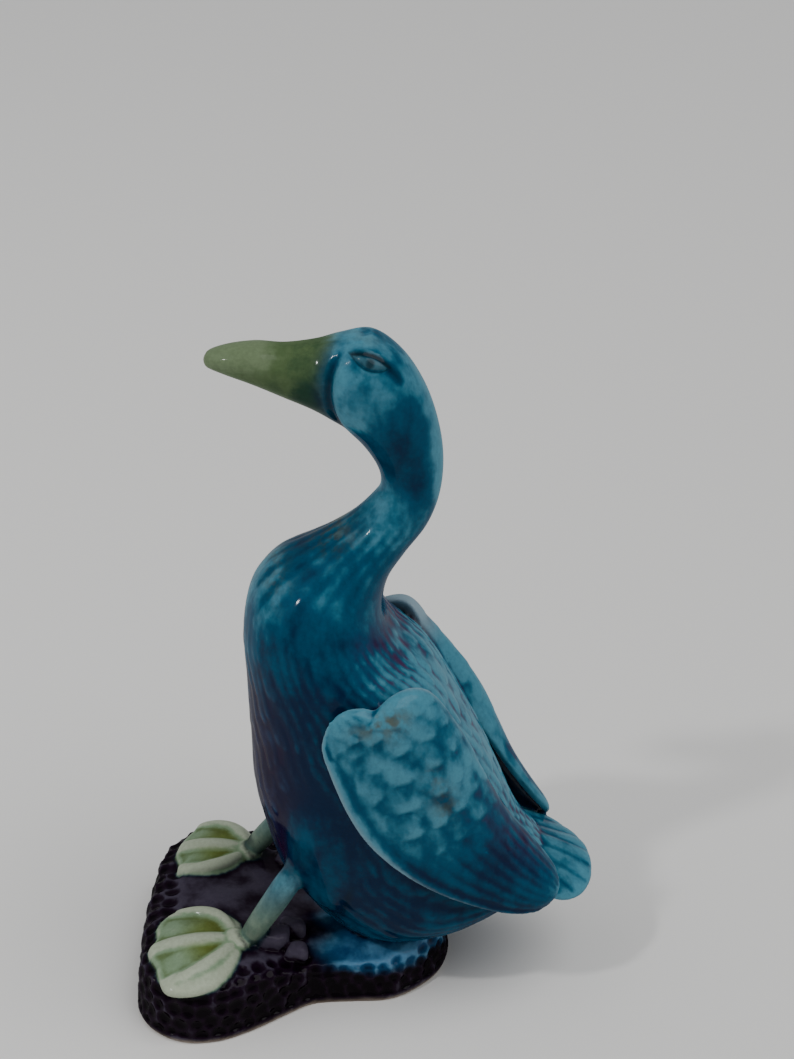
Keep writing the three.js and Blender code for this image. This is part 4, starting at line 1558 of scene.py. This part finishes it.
# %% Glaze colours
# Each glaze: its colour where it is thin, at its usual thickness and where it pools.
GLAZES = {
    "turquoise": [(0.062, 0.225, 0.305), (0.0, 0.058, 0.115), (0.0, 0.012, 0.042)],
    "purple": [(0.09, 0.08, 0.22), (0.028, 0.012, 0.058), (0.012, 0.003, 0.022)],
    "seam": [(0.13, 0.03, 0.1), (0.075, 0.01, 0.055), (0.035, 0.003, 0.025)],
    "smoke": [(0.085, 0.105, 0.09), (0.032, 0.046, 0.04), (0.008, 0.012, 0.012)],
    "bill": [(0.135, 0.185, 0.1), (0.072, 0.115, 0.048), (0.01, 0.04, 0.022)],
    "leg": [(0.18, 0.24, 0.18), (0.1, 0.165, 0.13), (0.03, 0.07, 0.06)],
    "foot": [(0.38, 0.43, 0.32), (0.2, 0.29, 0.18), (0.1, 0.15, 0.06)],
    "web": [(0.2, 0.27, 0.09), (0.13, 0.18, 0.04), (0.08, 0.1, 0.015)],
    "rock": [(0.055, 0.046, 0.07), (0.009, 0.003, 0.01), (0.002, 0.0004, 0.002)],
    "run": [(0.09, 0.24, 0.4), (0.004, 0.052, 0.14), (0.0, 0.005, 0.022)],
    "slip": [(0.36, 0.4, 0.44), (0.3, 0.32, 0.34), (0.2, 0.2, 0.2)],
    "clay": [(0.5, 0.43, 0.36), (0.34, 0.28, 0.23), (0.18, 0.13, 0.1)],
}
print("glazes:", list(GLAZES))

# %% [markdown]
# ## The duck's material
#
# The layers go on in the order of the potter's work: the glazes, then the fine brush, then what
# the kiln and the years did to them. The glaze's own gloss is a thin coat over a matt colour,
# since a plain shiny surface would mirror the pale room and look milky.

# %% Duck's material
EYE_WHITE = (0.16, 0.3, 0.34, 1)
# Near-black glaze for the drawn lines, also used for the painted shadow under each thigh.
LINE_AND_SHADOW_GLAZE = (0.002, 0.01, 0.016, 1)
LINE_AND_SHADOW_SHARE = 0.88
SPECK_GLAZE = (0.003, 0.01, 0.02, 1)
SPECK_SHARE = 0.35
WORN_SHARE = 0.65
PURPLE_WHERE_DEEP = (0.3, 0.75)
SEAM_IN_GROOVES = (0.0, 0.4)
DARKEST_FLECK = 0.93
FLECK_RANGE = 0.14
GLOSS_ROUGH = 0.16
CLOUD_ROUGH = 0.1
BARE_ROUGH = 0.5
COAT_SHARE = 0.26
COAT_LOST_ON_ROCK = 0.35
FLECK_BUMP = 0.12
BUMP = {"Strength": 0.5, "Distance": 0.00015}


def make_glaze():
    material = bpy.data.materials.new("duck_glazes")
    material.use_nodes = True
    tree = material.node_tree

    def stored(name):
        return add_node(tree, "ShaderNodeAttribute", attribute_name=name)["Fac"]

    def marked(name, amount=1.0):
        return (stored("mark_" + name) * amount).clamped()

    def group(made, sockets=None):
        return add_node(tree, "ShaderNodeGroup", node_tree=made, sockets=sockets)

    kiln = group(KILN)
    fine = stored("relief_fine")
    layers = {name: kiln[name] for name in ("Clouds", "Streaks", "Mottles")}
    layers |= {"Fine relief": fine, "Broad relief": stored("relief_broad")}
    layers |= {"Deep": stored("mark_deep"), "Pale": stored("mark_pale")}
    depth = group(DEPTH, layers)["Depth"]

    def glaze(name):
        thin, middle, thick = [(*colour, 1) for colour in GLAZES[name]]
        return group(COLOUR, {"Depth": depth, "Thin": thin, "Middle": middle, "Thick": thick})["Colour"]

    seam = eased(fine * -1.0, *SEAM_IN_GROOVES) * kiln["Clouds"]
    shares = {
        "purple": marked("purple") * eased(depth, *PURPLE_WHERE_DEEP),
        "seam": marked("purple") * seam,
        "smoke": marked("smoke") * kiln["Smudges"],
    }
    shares |= {name: marked(name) for name in ("bill", "leg", "foot", "web", "rock", "run")}
    colour = glaze("turquoise")
    for name, share in shares.items():
        colour = mixed(share, colour, glaze(name))
    eye = group(EYES)
    colour = mixed(eye["White"], colour, EYE_WHITE)
    # dark lines, the eye drawing and the painted shadow under the thighs
    colour = mixed(larger(marked("dark") * LINE_AND_SHADOW_SHARE, eye["Line"]), colour, LINE_AND_SHADOW_GLAZE)
    colour = mixed(1.0, colour, kiln["Flecks"] * FLECK_RANGE + DARKEST_FLECK, blend="MULTIPLY")
    colour = mixed(kiln["Specks"] * SPECK_SHARE, colour, SPECK_GLAZE)
    colour = mixed(marked("worn", WORN_SHARE), colour, glaze("slip"))
    bare = marked("biscuit")
    height = kiln["Clouds"] + kiln["Flecks"] * FLECK_BUMP
    coat = (1.0 - bare).clamped() * COAT_SHARE * (1.0 - marked("rock", COAT_LOST_ON_ROCK))
    finish = {
        "Base Color": mixed(bare, colour, glaze("clay")),
        "Roughness": kiln["Clouds"] * CLOUD_ROUGH + GLOSS_ROUGH + bare * BARE_ROUGH,
        "Coat Weight": coat,
        "Coat Roughness": 0.1,
        "Coat IOR": 1.45,
        "Specular IOR Level": 0.0,
        "Normal": add_node(tree, "ShaderNodeBump", {"Height": height} | BUMP)[0],
    }
    plug(tree, tree.nodes["Principled BSDF"], finish)
    return material


duck.data.materials.clear()
duck.data.materials.append(make_glaze())
print("material nodes:", len(duck.data.materials[0].node_tree.nodes))

# %% [markdown]
# ## One piece on the frame
#
# The fired duck is one piece and nothing on it moves. Wings and rock could ride by themselves,
# but they are one skin, so the duck rides on the one body and stands for the one solid.

# %% Ride on the frame
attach(duck, "root")
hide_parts("duck_figurine")
print(duck.name, "rides on the frame, with", len(duck.data.vertices), "vertices")

# %% [markdown]
# ## The floor
#
# The duck stands on a plain pale floor, wide enough to fill the picture. It is one flat face of
# matt paper, so that nothing shines beside the glaze.

# %% Floor
FLOOR_HALF = 4.0
PAPER = {"Base Color": (0.8, 0.79, 0.77, 1), "Roughness": 0.9}

floor = add_object("floor", grid("floor", 1, 1, FLOOR_HALF))
paper = bpy.data.materials.new("paper")
paper.use_nodes = True
plug(paper.node_tree, paper.node_tree.nodes["Principled BSDF"], PAPER)
floor.data.materials.append(paper)
print("floor:", 2 * FLOOR_HALF, "m wide")

# %% [markdown]
# ## The light
#
# Daylight in a room comes from all sides, with a soft sun in it. Glaze mirrors its lights, so a
# small key gives the bright points on breast and eye, and a wide fill stays soft and unseen.
# One large lamp could light it all, but it would lay a pale patch over the wet-looking glaze.

# %% Light
SKY = {"energy": 1.5, "angle": math.radians(50)}
SKY_DIRECTION = (-0.25, -0.55, -1.0)
# [place, the point it looks at, size, watts]
LAMPS = {
    "key": [(0.4, -0.5, 0.75), (0, 0, 0.08), 0.06, 2.2],
    "fill": [(0.1, -0.9, 0.9), (0, 0, 0.05), 1.2, 2.2],
}
ROOM = {"Color": (0.8, 0.82, 0.85, 1), "Strength": 0.4}


def add_lamp(name, kind, direction, settings):
    lamp = add_object(name, set_all(bpy.data.lights.new(name, kind), settings))
    lamp.rotation_euler = facing(direction)
    return lamp


add_lamp("soft_daylight", "SUN", SKY_DIRECTION, SKY)
for name, (place, aim, size, watts) in LAMPS.items():
    lamp = add_lamp(name, "AREA", Vector(aim) - Vector(place), {"size": size, "energy": watts})
    lamp.location = place
world = bpy.data.worlds.new("studio")
world.use_nodes = True
plug(world.node_tree, world.node_tree.nodes["Background"], ROOM)
bpy.context.scene.world = world
print("lamps:", ["soft_daylight", *LAMPS])
